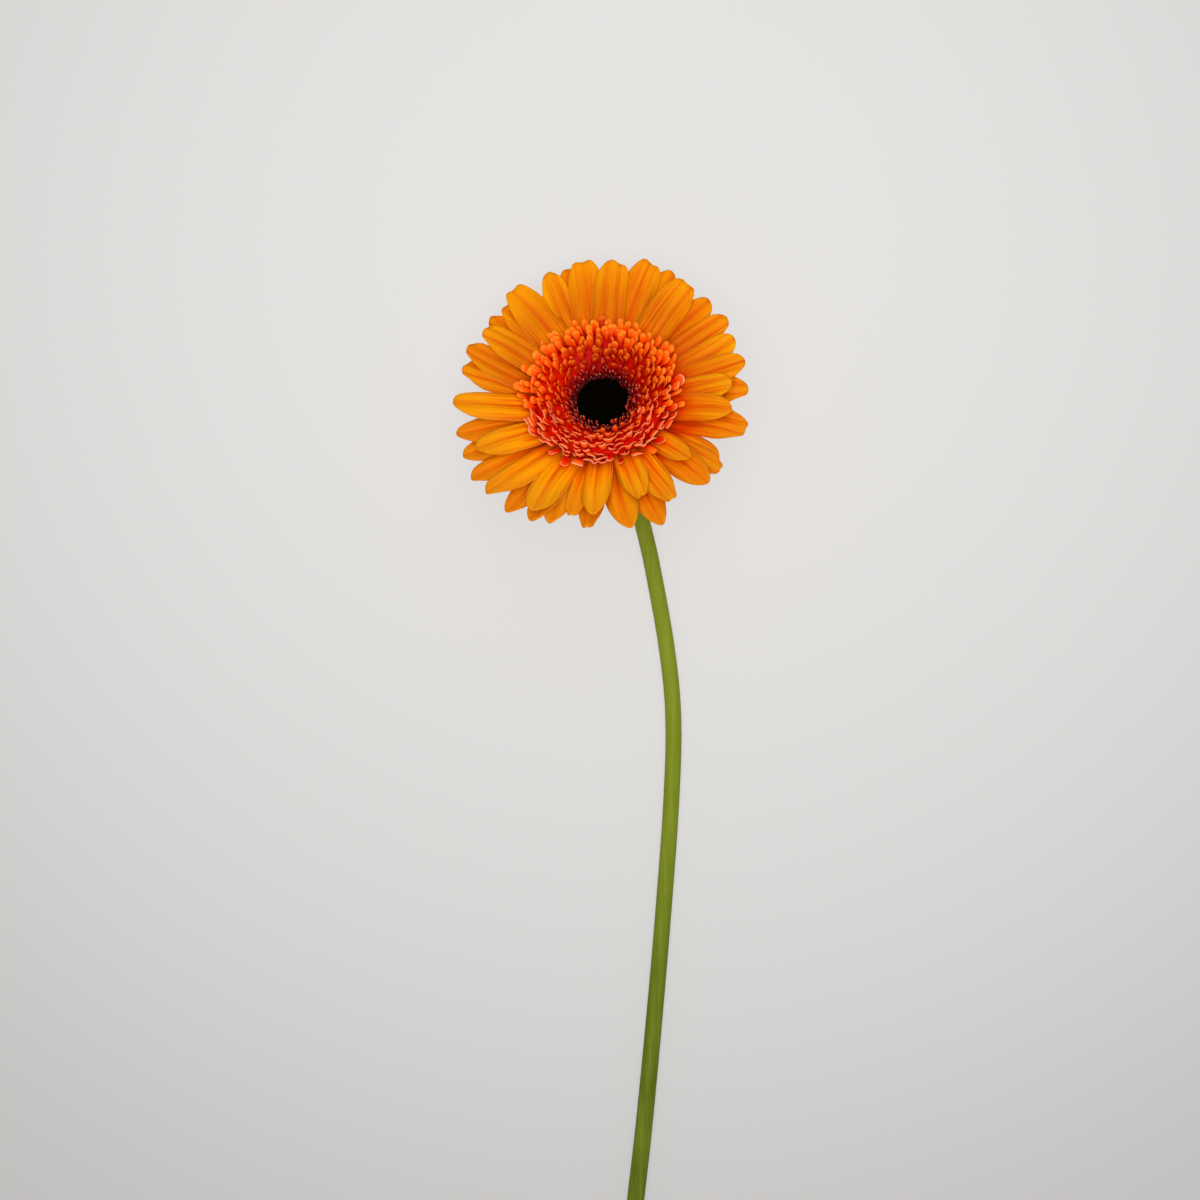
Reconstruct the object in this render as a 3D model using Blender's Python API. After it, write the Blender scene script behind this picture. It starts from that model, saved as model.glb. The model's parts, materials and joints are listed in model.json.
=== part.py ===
"""A cut gerbera daisy lying on its back on a surface, face up: the bare stem, the green cup of
bracts, and the florets of the head in four nodes by colour. Units are metres and +Z is up. The
surface is z = 0, and the origin is there, under the middle of the whole flower's box.

The head is made in axes of its own and then put in its place. There x is to the right, y to the
top of the bloom, away from the stem, and z out of its face, from the middle of the eye. Bearings
go clockwise from the top of the bloom, seen from its face, and a pair of numbers on the head is a
radius and a height."""

import math
import random

import bmesh
import bpy
from mathutils import Matrix, Vector

# Where the stem comes to lie on the surface, behind the head; the next places are from there
NECK_PLACE = Vector((0.01028, 0.12273, 0.0))

# How the head lies: its axis leans from the vertical towards +Y, and a little to -X
HEAD_LEAN = math.radians(22.0)
HEAD_SWING = math.radians(16.0)
HEAD_PLACE = Vector((-0.0097, 0.0246, 0.0290))
NODE_GAP = 0.0005  # between the stem and the cup

# The stem: thickness, the bend at the neck, and the way its middle takes, seen from above
STEM_THICK = 0.0057
STEM_NECK_THICK = 0.0062
STEM_FOOT_THICK = 0.0063
STEM_SIDES = 12
STEM_STEP = 0.0150
NECK_STEPS = 8
NECK_HANDLE = 0.0088
FOOT_SHARE = 0.6  # length of the stem, as a share, over which it thickens to its foot
CUT_SLANT = math.radians(28.0)
STEM_ROUTE = (
    (-0.0010, 0.0038),
    (0.0000, 0.0000),
    (0.0043, -0.0165),
    (0.0080, -0.0328),
    (0.0129, -0.0608),
    (0.0151, -0.0850),
    (0.0143, -0.1150),
    (0.0113, -0.1560),
    (0.0081, -0.1930),
    (0.0047, -0.2283),
    (0.0017, -0.2550),
    (-0.0012, -0.2860),
    (-0.0048, -0.3175),
)

# The cup of bracts under the head
CUP_BASE = -0.0176
CUP_TOP = -0.0064
CUP_RADIUS = 0.0128
CUP_BULGE = (0.8, 1.35)  # powers that round the cup's side outwards and upwards
CUP_STATIONS = (0.0, 0.15, 0.45, 1.0)
CUP_SIDES = 18
BRACT_THICK = 0.0009
BRACT_STATIONS = ((0.0, 0.6), (0.55, 1.0), (1.0, 0.15))  # along the bract, share of its width
BRACT_ROWS = (  # count, half-width, foot along the cup's side from 0 to 1, tip
    (13, 0.0023, 0.22, (0.0146, -0.0095)),
    (18, 0.0019, 0.48, (0.0168, -0.0069)),
)

# The plate that the ray florets grow from, and the form of one ray floret
RAY_PLATE = ((0, -0.0059), (0.0122, -0.0059), (0.0122, -0.0030), (0, -0.0030))
PLATE_SIDES = 30
RAY_ROOT = 0.0095
RAY_THICK = 0.0007
RAY_STATIONS = (0.0, 0.30, 0.55, 0.78, 0.94, 1.0)
RAY_COLUMNS = (-1.0, -0.5, 0.0, 0.5, 1.0)
RAY_RIDGES = (-0.10, 0.09, 0.0, 0.09, -0.10)  # height over the half-width, at each column
CLAW_WIDTH = 0.40  # as a share of the full width, like the tip's
CLAW_END = 0.50  # along the floret, like the shoulder
SHOULDER = 0.74
TIP_WIDTH = 0.34
TIP_ROUND = 2.6

# The two whorls of ray florets. Each floret's tip is given as it lies in this bloom, seen from
# straight above: bearing in degrees, distance from the middle of the eye in mm, and width in mm
RAYS_ABOVE = (
    (5, 48.7, 12.8),
    (19, 51.0, 13.2),
    (36, 50.0, 13.0),
    (65, 49.6, 11.0),
    (75, 50.0, 10.6),
    (83, 44.2, 10.4),
    (95, 43.4, 9.8),
    (125, 34.9, 8.0),
    (146, 41.5, 9.8),
    (159, 34.7, 10.0),
    (185, 38.1, 9.8),
    (212, 43.6, 12.0),
    (231, 50.0, 11.0),
    (249, 45.2, 11.2),
    (269, 50.8, 11.4),
    (301, 47.6, 10.8),
    (321, 49.8, 13.0),
    (337, 48.6, 10.8),
    (352, 49.2, 13.0),
)
RAYS_BELOW = (
    (27, 51.0, 11.0),
    (47, 50.6, 11.2),
    (57, 51.2, 10.6),
    (86, 49.6, 10.6),
    (102, 49.4, 11.8),
    (121, 46.2, 10.6),
    (129, 44.4, 11.2),
    (155, 46.4, 10.4),
    (168, 43.2, 11.2),
    (187, 43.6, 9.0),
    (195, 40.8, 8.8),
    (203, 45.2, 10.0),
    (211, 46.8, 10.6),
    (221, 49.0, 10.6),
    (239, 51.4, 10.8),
    (249, 50.6, 10.8),
    (257, 50.6, 11.0),
    (284, 49.2, 11.2),
    (292, 50.0, 10.8),
    (307, 48.4, 10.0),
    (314, 47.4, 10.0),
    (345, 48.0, 10.0),
)
WHORLS = (  # the tips, root height, tip height, and how much higher tips at the bottom are
    (RAYS_ABOVE, -0.0047, 0.0092, 0.0034),
    (RAYS_BELOW, -0.0051, 0.0056, 0.0028),
)
LAYER_STEP = 0.0007  # tips lie this much higher and lower by turns
RAY_RISE = 0.0012  # how far the middle of a floret stands above its chord
RAY_CUPPING = 0.0022  # less of that at the bottom of the bloom
SEED_RAYS = 113
HEIGHT_SCATTER = 0.0003
RISE_SCATTER = 0.0005
SWEEP_SCATTER = math.radians(2.0)
ROLL = math.radians(6.5)  # one edge of each floret lies over its neighbour
ROLL_SCATTER = math.radians(2.5)

# Ray florets that hang behind the rest; those at the top of the bloom reach the surface
BACK_COUNT = 8
BACK_ROOT = -0.0051
BACK_START = math.radians(-15.0)
BACK_SPREAD = 0.0465
BACK_WIDTH = 0.0110
BACK_TIP = -0.0022
BACK_LEAN = 0.0060  # how much lower the tips at the top of the bloom are
BACK_RISE = (0.0012, -0.22)  # rise of a level floret, and how it changes with its tip height
REST_ARC = math.radians(35.0)  # how far either side of the top they do
REST_LOWEST = -0.030

# The ring of short strap florets: the mound they stand on, and its rows from the inside
TRANS_MOUND = (
    (0.0112, -0.0023),
    (0.0119, -0.0023),
    (0.0144, 0.0007),
    (0.0185, 0.0026),
    (0.0230, 0.0041),
    (0.0205, 0.0052),
    (0.0168, 0.0041),
    (0.0134, 0.0016),
    (0.0112, -0.0007),
)
MOUND_SIDES = 30
TRANS_ROWS = (  # count, root, tip, width
    (20, (0.0134, 0.0006), (0.0151, 0.0056), 0.0022),
    (23, (0.0150, 0.0021), (0.0175, 0.0073), 0.0026),
    (26, (0.0172, 0.0034), (0.0206, 0.0083), 0.0029),
    (28, (0.0195, 0.0041), (0.0238, 0.0084), 0.0032),
    (30, (0.0215, 0.0044), (0.0269, 0.0074), 0.0034),
)
TRANS_THICK = 0.0010
TRANS_RISE = 0.0002
TRANS_SHARES = (0.7, 1.0, 0.55)  # of the width, from root to tip
TRANS_SCATTER = (0.015, 0.0005, 0.0003)  # of the bearing, the radius and the height
SEED_TRANS = 5

# The dark fringe round the eye
FRINGE_COLLAR = ((0.0093, -0.0025), (0.0104, -0.0025), (0.0104, -0.0008), (0.0093, -0.0008))
FRINGE_SIDES = 24
FRINGE_ROWS = (  # count, root, tip
    (20, (0.0098, -0.0016), (0.0100, 0.0019)),
    (24, (0.0098, -0.0016), (0.0116, 0.0028)),
)
FRINGE_WIDTH = 0.0012
FRINGE_SHARES = (0.8, 0.6)
FRINGE_SCATTER = (0.02, 0.0002)  # of the bearing and the height
SEED_FRINGE = 3

# The eye: a low dome of closed buds
EYE_RADIUS = 0.0089
EYE_BOTTOM = -0.0025
EYE_SAG = 0.0011  # how far the eye's rim lies below its middle
EYE_STATIONS = (1.0, 0.66, 0.33)
EYE_SIDES = 20
BUD_COUNT = 44
BUD_RADIUS = 0.00094
BUD_SUNK = 0.0004
BUD_TALL = 0.0012
BUD_TOP = 0.6  # width of a bud's top, as a share
BUD_SIDES = 5
GOLDEN_ANGLE = math.radians(137.508)


def clear_scene():
    for obj in list(bpy.data.objects):
        bpy.data.objects.remove(obj)


def head_matrix():
    """Turns and moves what is made in the head's own axes to where the head lies."""
    level = math.sin(HEAD_LEAN)
    axis = Vector((-level * math.sin(HEAD_SWING), level * math.cos(HEAD_SWING), math.cos(HEAD_LEAN)))
    up = Vector((0, 1, 0))
    up = (up - axis * up.dot(axis)).normalized()
    turn = Matrix((up.cross(axis), up, axis)).transposed().to_4x4()
    return Matrix.Translation(NECK_PLACE + HEAD_PLACE) @ turn


HEAD = head_matrix()


def linear(share):
    """Linear value of one channel of an sRGB colour, both from 0 to 1."""
    return ((share + 0.055) / 1.055) ** 2.4 if share > 0.04045 else share / 12.92


def surface(name, srgb, roughness):
    """A plain material in an sRGB colour given from 0 to 255."""
    material = bpy.data.materials.new(name)
    material.use_nodes = True
    shader = material.node_tree.nodes["Principled BSDF"]
    shader.inputs["Base Color"].default_value = (*(linear(channel / 255) for channel in srgb), 1.0)
    shader.inputs["Roughness"].default_value = roughness
    shader.inputs["Metallic"].default_value = 0.0
    return material


def round_off(mesh, material, sharp_from):
    """Gives a mesh its only material and shades it smooth, but for edges sharper than this."""
    mesh.materials.clear()
    mesh.materials.append(material)
    mesh.shade_smooth()
    mesh.set_sharp_from_angle(angle=math.radians(sharp_from))


def add_object(name, bm, collection):
    mesh = bpy.data.meshes.new(name)
    bmesh.ops.triangulate(bm, faces=bm.faces)
    bm.to_mesh(mesh)
    bm.free()
    obj = bpy.data.objects.new(name, mesh)
    collection.objects.link(obj)
    return obj


def skin(loops):
    """Closes a run of equal loops of points, each anticlockwise seen from the end, into a solid."""
    bm = bmesh.new()
    rings = [[bm.verts.new(point) for point in loop] for loop in loops]
    count = len(rings[0])
    for near, far in zip(rings, rings[1:]):
        for k in range(count):
            n = (k + 1) % count
            bm.faces.new((near[k], near[n], far[n]))
            bm.faces.new((near[k], far[n], far[k]))
    bm.faces.new(rings[0][::-1])
    bm.faces.new(rings[-1])
    return bm


def turned(profile, sides):
    """Spins an outline of (radius, height), anticlockwise, about the axis. An outline that starts
    and ends on the axis is open, and any other is closed."""
    bm = bmesh.new()
    rings = []
    for radius, height in profile:
        if radius == 0:
            rings.append([bm.verts.new((0, 0, height))] * sides)
            continue
        angles = [2 * math.pi * k / sides for k in range(sides)]
        rings.append([bm.verts.new((radius * math.cos(a), radius * math.sin(a), height)) for a in angles])
    if profile[0][0] > 0:
        rings.append(rings[0])
    for lower, upper in zip(rings, rings[1:]):
        for k in range(sides):
            n = (k + 1) % sides
            corners = dict.fromkeys((lower[k], lower[n], upper[n], upper[k]))
            bm.faces.new(list(corners))
    return bm


def shells(bm):
    """The separate closed skins of a mesh, each as a list of its faces."""
    left = set(bm.faces)
    found = []
    while left:
        reached = [left.pop()]
        for face in reached:
            near = {other for edge in face.edges for other in edge.link_faces}
            reached.extend(near & left)
            left -= near
        found.append(reached)
    return found


def keep_outer_skin(mesh):
    """Fills what the union sealed in and drops loose scraps, by keeping only the largest skin."""
    bm = bmesh.new()
    bm.from_mesh(mesh)
    skins = sorted(shells(bm), key=len)
    inner = [face for faces in skins[:-1] for face in faces]
    bmesh.ops.delete(bm, geom=inner, context="FACES")
    bm.to_mesh(mesh)
    bm.free()


def head_node(name, core, repeats, material, sharp_from):
    """Joins the repeats to their core in one union, as one object in its place on the head."""
    scene = bpy.context.scene.collection
    gathered = bpy.data.collections.new(name + "_repeats")
    scene.children.link(gathered)
    for k, bm in enumerate(repeats):
        add_object(f"{name}_{k}", bm, gathered)
    body = add_object(name, core, scene)
    join = body.modifiers.new("Join", "BOOLEAN")
    join.operation = "UNION"
    join.operand_type = "COLLECTION"
    join.collection = gathered
    join.solver = "MANIFOLD"
    graph = bpy.context.evaluated_depsgraph_get()
    mesh = bpy.data.meshes.new_from_object(body.evaluated_get(graph))
    body.modifiers.clear()
    body.data = mesh
    for piece in list(gathered.objects):
        bpy.data.objects.remove(piece)
    bpy.data.collections.remove(gathered)
    keep_outer_skin(mesh)
    mesh.transform(HEAD)
    round_off(mesh, material, sharp_from)


def smooth_step(t):
    t = min(1.0, max(0.0, t))
    return t * t * (3 - 2 * t)


def on_bend(root, tip, rise, s):
    """Radius and height at s of the curve from root to tip whose middle stands up by rise."""
    middle = ((root[0] + tip[0]) / 2, (root[1] + tip[1]) / 2 + 2 * rise)
    weights = ((1 - s) ** 2, 2 * s * (1 - s), s * s)
    return [sum(w * p[axis] for w, p in zip(weights, (root, middle, tip))) for axis in (0, 1)]


def floret_frame(bearing, root, tip, rise, sweep, roll, s):
    """Middle, sideways direction and upper normal of a floret at s, from 0 at its root to 1."""

    def middle(at):
        radius, height = on_bend(root, tip, rise, at)
        turn = bearing + sweep * at * at
        return Vector((radius * math.sin(turn), radius * math.cos(turn), height))

    along = (middle(s + 0.01) - middle(s - 0.01)).normalized()
    side = Vector((math.cos(bearing), -math.sin(bearing), 0))
    side = (side - along * side.dot(along)).normalized()
    side = Matrix.Rotation(roll, 3, along) @ side
    return middle(s), side, side.cross(along)


def ray_outline(s):
    """Half-width of a ray floret at s, as a share of its widest: a narrow claw and a round tip."""
    claw = CLAW_WIDTH + (1 - CLAW_WIDTH) * smooth_step(s / CLAW_END)
    shoulder = max(0.0, (s - SHOULDER) / (1 - SHOULDER))
    return claw * max(TIP_WIDTH, math.sqrt(max(0.0, 1 - shoulder**TIP_ROUND)))


def ray_sheets(bearing, root, tip, rise, width, sweep, roll):
    """Points of the upper and the lower face of a ray floret, station by station."""
    upper, lower = [], []
    for s in RAY_STATIONS:
        middle, side, normal = floret_frame(bearing, (RAY_ROOT, root), tip, rise, sweep, roll, s)
        half = width / 2 * ray_outline(s)
        line = [middle + (side * q + normal * h) * half for q, h in zip(RAY_COLUMNS, RAY_RIDGES)]
        upper.append([point + normal * RAY_THICK / 2 for point in line])
        lower.append([point - normal * RAY_THICK / 2 for point in line])
    return upper, lower


def ray_solid(*floret):
    """One ray floret: a strap with two raised ridges, split into triangles alike on both faces."""
    bm = bmesh.new()
    upper, lower = ([[bm.verts.new(p) for p in line] for line in sheet] for sheet in ray_sheets(*floret))
    last = len(RAY_COLUMNS) - 1
    for i in range(len(RAY_STATIONS) - 1):
        for j in range(last):
            for sheet, order in ((upper, 1), (lower, -1)):
                a, b = sheet[i][j : j + 2]
                d, c = sheet[i + 1][j : j + 2]
                bm.faces.new((a, b, c)[::order])
                bm.faces.new((a, c, d)[::order])
        bm.faces.new((lower[i][0], upper[i][0], upper[i + 1][0], lower[i + 1][0]))
        bm.faces.new((upper[i][last], lower[i][last], lower[i + 1][last], upper[i + 1][last]))
    for j in range(last):
        bm.faces.new((upper[0][j], lower[0][j], lower[0][j + 1], upper[0][j + 1]))
        bm.faces.new((lower[-1][j], upper[-1][j], upper[-1][j + 1], lower[-1][j + 1]))
    return bm


def head_place(bearing, reach, height):
    """Bearing and radius on the head of a point at this height there, given as seen from above."""
    right, up, axis = (HEAD.to_3x3().col[k].xy for k in range(3))
    seen = Vector((math.sin(bearing), math.cos(bearing))) * reach - axis * height
    place = Matrix((right, up)).transposed().inverted() @ seen
    return math.atan2(*place), place.length


def whorl_florets():
    """Bearing, root height, tip, rise, width, sweep and roll of each floret of the two whorls."""
    draw = random.Random(SEED_RAYS)
    florets = []
    for tips, root, lift, higher in WHORLS:
        for k, (degrees, reach, width) in enumerate(tips):
            seen = math.radians(degrees)
            top = math.cos(seen)
            height = lift - higher * top + LAYER_STEP * (-1) ** k + draw.gauss(0, HEIGHT_SCATTER)
            bearing, radius = head_place(seen, reach / 1000, height)
            rise = RAY_RISE + RAY_CUPPING * min(0.0, top) + draw.uniform(-RISE_SCATTER, RISE_SCATTER)
            sweep = draw.gauss(0, SWEEP_SCATTER)
            roll = ROLL + draw.gauss(0, ROLL_SCATTER)
            florets.append((bearing - sweep, root, (radius, height), rise, width / 1000, sweep, roll))
    return florets


def back_floret(bearing, tip_height):
    """A ray floret under the whorls; the further down it reaches, the more it arches."""
    rise = BACK_RISE[0] + BACK_RISE[1] * tip_height
    return bearing, BACK_ROOT, (BACK_SPREAD, tip_height), rise, BACK_WIDTH, 0.0, 0.0


def resting_height(bearing):
    """Tip height at which a back floret just touches the surface, by halving."""
    high, low = 0.0, REST_LOWEST
    for _ in range(30):
        height = (high + low) / 2
        upper, lower = ray_sheets(*back_floret(bearing, height))
        if min((HEAD @ point).z for line in upper + lower for point in line) > 0:
            high = height
        else:
            low = height
    return high


def back_florets():
    florets = []
    for k in range(BACK_COUNT):
        bearing = BACK_START + 2 * math.pi * k / BACK_COUNT
        height = BACK_TIP - BACK_LEAN * math.cos(bearing)
        if math.cos(bearing) > math.cos(REST_ARC):
            height = resting_height(bearing)
        florets.append(back_floret(bearing, height))
    return florets


def ray_florets(material):
    repeats = [ray_solid(*floret) for floret in whorl_florets() + back_florets()]
    head_node("ray_florets", turned(RAY_PLATE, PLATE_SIDES), repeats, material, sharp_from=50)


def strap(bearing, root, tip, rise, width, thick, shares):
    """A small four-sided floret; shares are of its width, at even steps from root to tip."""
    loops = []
    for k, share in enumerate(shares):
        s = k / (len(shares) - 1)
        middle, side, normal = floret_frame(bearing, root, tip, rise, 0.0, 0.0, s)
        across = side * width / 2 * share
        deep = normal * thick / 2 * max(share, 0.6)
        loops.append((middle + across, middle - deep, middle - across, middle + deep))
    return skin(loops)


def trans_florets(material):
    draw = random.Random(SEED_TRANS)
    turn, out, up = TRANS_SCATTER
    repeats = []
    for row, (count, root, tip, width) in enumerate(TRANS_ROWS):
        for k in range(count):
            bearing = 2 * math.pi * (k + 0.5 * (row % 2)) / count + draw.gauss(0, turn)
            end = (tip[0] + draw.gauss(0, out), tip[1] + draw.gauss(0, up))
            repeats.append(strap(bearing, root, end, TRANS_RISE, width, TRANS_THICK, TRANS_SHARES))
    head_node("trans_florets", turned(TRANS_MOUND, MOUND_SIDES), repeats, material, sharp_from=50)


def fringe_florets(material):
    draw = random.Random(SEED_FRINGE)
    turn, up = FRINGE_SCATTER
    repeats = []
    for row, (count, root, tip) in enumerate(FRINGE_ROWS):
        for k in range(count):
            bearing = 2 * math.pi * (k + 0.5 * row) / count + draw.gauss(0, turn)
            end = (tip[0], tip[1] + draw.gauss(0, up))
            repeats.append(strap(bearing, root, end, 0.0, FRINGE_WIDTH, FRINGE_WIDTH, FRINGE_SHARES))
    head_node("fringe_florets", turned(FRINGE_COLLAR, FRINGE_SIDES), repeats, material, sharp_from=50)


def eye_point(radius):
    """Point of the eye's dome at this radius; the dome lies lower towards its rim."""
    return radius, -BUD_RADIUS - EYE_SAG * (radius / EYE_RADIUS) ** 2


def bud(k):
    """A closed disc floret, one of a run set out by the golden angle."""
    angle = k * GOLDEN_ANGLE
    radius, height = eye_point((EYE_RADIUS - BUD_RADIUS) * math.sqrt((k + 0.4) / BUD_COUNT))
    foot = Vector((radius * math.cos(angle), radius * math.sin(angle), height - BUD_SUNK))
    turns = [angle + 2 * math.pi * n / BUD_SIDES for n in range(BUD_SIDES)]
    spokes = [Vector((math.cos(turn), math.sin(turn), 0)) * BUD_RADIUS for turn in turns]
    top = foot + Vector((0, 0, BUD_TALL))
    return skin([[foot + spoke for spoke in spokes], [top + spoke * BUD_TOP for spoke in spokes]])


def disc_florets(material):
    dome = [eye_point(share * EYE_RADIUS) for share in EYE_STATIONS]
    core = turned([(0, EYE_BOTTOM), (EYE_RADIUS, EYE_BOTTOM), *dome, eye_point(0)], EYE_SIDES)
    head_node("disc_florets", core, [bud(k) for k in range(BUD_COUNT)], material, sharp_from=60)


def cup_side(t):
    """Radius and height on the outside of the cup, from its base at 0 to its rim at 1."""
    neck = STEM_NECK_THICK / 2
    out, up = CUP_BULGE
    radius = neck + (CUP_RADIUS - neck) * math.sin(math.pi / 2 * t) ** out
    return radius, CUP_BASE + (CUP_TOP - CUP_BASE) * t**up


def bract(bearing, half, foot, tip):
    """A keeled scale that follows the cup's side and leaves it near the rim, to its free tip."""
    outward = Vector((math.sin(bearing), math.cos(bearing), 0))
    side = Vector((math.cos(bearing), -math.sin(bearing), 0))
    keel = (outward * 0.8 - Vector((0, 0, 0.6))) * BRACT_THICK
    loops = []
    for s, share in BRACT_STATIONS:
        radius, height = cup_side(foot + (1 - foot) * min(1.0, s * 1.25))
        free = smooth_step((s - 0.6) / 0.4)
        middle = outward * (radius + (tip[0] - radius) * free)
        middle.z = height + (tip[1] - height) * free
        across = side * half * share
        loops.append((middle + across, middle + keel, middle - across))
    return skin(loops)


def involucre(material):
    repeats = []
    for row, (count, half, foot, tip) in enumerate(BRACT_ROWS):
        bearings = [2 * math.pi * (k + 0.5 * row) / count for k in range(count)]
        repeats.extend(bract(bearing, half, foot, tip) for bearing in bearings)
    core = turned([(0, CUP_BASE), *map(cup_side, CUP_STATIONS), (0, CUP_TOP)], CUP_SIDES)
    head_node("involucre", core, repeats, material, sharp_from=40)


def neck_line(start, heading):
    """The bend from the cup down to where the stem lies on the surface, with its thickness."""
    axis = HEAD.to_3x3() @ Vector((0, 0, 1))
    top = HEAD @ Vector((0, 0, CUP_BASE - NODE_GAP))
    guides = (top, top - axis * NECK_HANDLE, start - heading * NECK_HANDLE, start)
    line = []
    for k in range(NECK_STEPS):
        s = k / NECK_STEPS
        weights = ((1 - s) ** 3, 3 * s * (1 - s) ** 2, 3 * s * s * (1 - s), s**3)
        middle = sum((guide * weight for guide, weight in zip(guides, weights)), Vector())
        line.append((middle, STEM_THICK + (STEM_NECK_THICK - STEM_THICK) * (1 - s) ** 2))
    return line


def lying_line():
    """The stem on the surface: a smooth curve through the route's points, seen from above."""
    route = [NECK_PLACE.xy + Vector(point) for point in STEM_ROUTE]
    ends = [route[0] * 2 - route[1], *route, route[-1] * 2 - route[-2]]
    line = []
    for a, b, c, d in zip(ends, ends[1:], ends[2:], ends[3:]):
        pieces = max(1, round((c - b).length / STEM_STEP))
        for s in (k / pieces for k in range(pieces)):
            curve = (2 * a - 5 * b + 4 * c - d) * s**2 + (3 * b - a - 3 * c + d) * s**3
            line.append(b + ((c - a) * s + curve) / 2)
    return line + [route[-1]]


def stem_line():
    """Middle and thickness of the stem at each station, from the cup to the cut foot."""
    flat = math.cos(math.pi / STEM_SIDES) / 2  # height of the middle where it lies on a side
    lying = lying_line()
    start = Vector((*lying[0], STEM_THICK * flat))
    heading = Vector((*(lying[1] - lying[0]).normalized(), 0))
    line = neck_line(start, heading)
    for k, point in enumerate(lying):
        near_foot = 1 - (1 - k / (len(lying) - 1)) / FOOT_SHARE
        thick = STEM_THICK + (STEM_FOOT_THICK - STEM_THICK) * smooth_step(near_foot)
        line.append((Vector((*point, thick * flat)), thick))
    return line


def stem(material):
    """The stem: a tube with one side flat on the surface, and its foot cut on the slant."""
    line = stem_line()[::-1]
    last = len(line) - 1
    side = None
    loops = []
    for k, (middle, thick) in enumerate(line):
        along = (line[min(last, k + 1)][0] - line[max(0, k - 1)][0]).normalized()
        side = side or Vector((0, 0, 1)).cross(along)
        side = (side - along * side.dot(along)).normalized()
        up = along.cross(side)
        slant = math.tan(CUT_SLANT) if k == 0 else 0.0
        loop = []
        for n in range(STEM_SIDES):
            angle = 2 * math.pi * (n + 0.5) / STEM_SIDES
            spoke = side * math.cos(angle) + (up + along * slant) * math.sin(angle)
            loop.append(middle + spoke * thick / 2)
        loops.append(loop)
    obj = add_object("stem", skin(loops), bpy.context.scene.collection)
    round_off(obj.data, material, sharp_from=40)


clear_scene()
stem(surface("stem_green", (118, 130, 36), 0.55))
involucre(surface("bract_green", (98, 118, 40), 0.60))
ray_florets(surface("ray_orange", (250, 146, 8), 0.50))
trans_florets(surface("trans_red", (232, 84, 28), 0.50))
fringe_florets(surface("fringe_maroon", (120, 22, 18), 0.55))
disc_florets(surface("eye_black", (14, 9, 8), 0.75))
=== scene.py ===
import json
import math
import random

import bmesh
import bpy
from mathutils import Matrix, Vector

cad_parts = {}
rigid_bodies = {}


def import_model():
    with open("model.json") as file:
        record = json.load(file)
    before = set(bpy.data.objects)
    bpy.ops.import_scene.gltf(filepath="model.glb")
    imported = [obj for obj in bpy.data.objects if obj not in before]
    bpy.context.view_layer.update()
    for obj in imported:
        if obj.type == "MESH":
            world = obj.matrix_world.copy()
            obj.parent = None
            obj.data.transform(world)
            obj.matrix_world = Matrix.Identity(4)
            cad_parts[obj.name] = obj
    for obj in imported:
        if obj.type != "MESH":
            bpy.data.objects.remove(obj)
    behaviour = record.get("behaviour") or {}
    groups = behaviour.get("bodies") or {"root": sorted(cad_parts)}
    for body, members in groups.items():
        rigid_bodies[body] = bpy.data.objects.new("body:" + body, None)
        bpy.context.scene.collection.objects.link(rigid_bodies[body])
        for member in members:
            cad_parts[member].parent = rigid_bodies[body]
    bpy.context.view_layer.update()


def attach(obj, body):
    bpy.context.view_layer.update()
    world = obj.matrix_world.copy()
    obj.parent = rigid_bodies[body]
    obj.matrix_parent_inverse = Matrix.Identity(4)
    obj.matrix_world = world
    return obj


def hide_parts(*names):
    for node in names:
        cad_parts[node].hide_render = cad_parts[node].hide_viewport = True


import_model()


# The view. The cut flower lies face up, and the camera looks straight down on it from 1.1 m, with
# the eye of the bloom above the picture's middle and the stem running down out of the picture.
EYE_PLACE = Vector((0.00058, 0.14733, 0.0290))
CAMERA_HEIGHT = 1.1
PICTURE_WIDTH = 0.42
PICTURE_MIDDLE = (-0.0008, -0.0679)  # from the eye of the bloom, to the right and up

lens = bpy.data.cameras.new("camera")
lens.angle = 2 * math.atan(PICTURE_WIDTH / 2 / CAMERA_HEIGHT)
lens.clip_start = 0.01
camera = bpy.data.objects.new("camera", lens)
right, up = PICTURE_MIDDLE
camera.location = (EYE_PLACE.x + right, EYE_PLACE.y + up, CAMERA_HEIGHT)
bpy.context.scene.collection.objects.link(camera)
bpy.context.scene.camera = camera
bpy.context.scene.view_settings.view_transform = "Standard"


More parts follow.
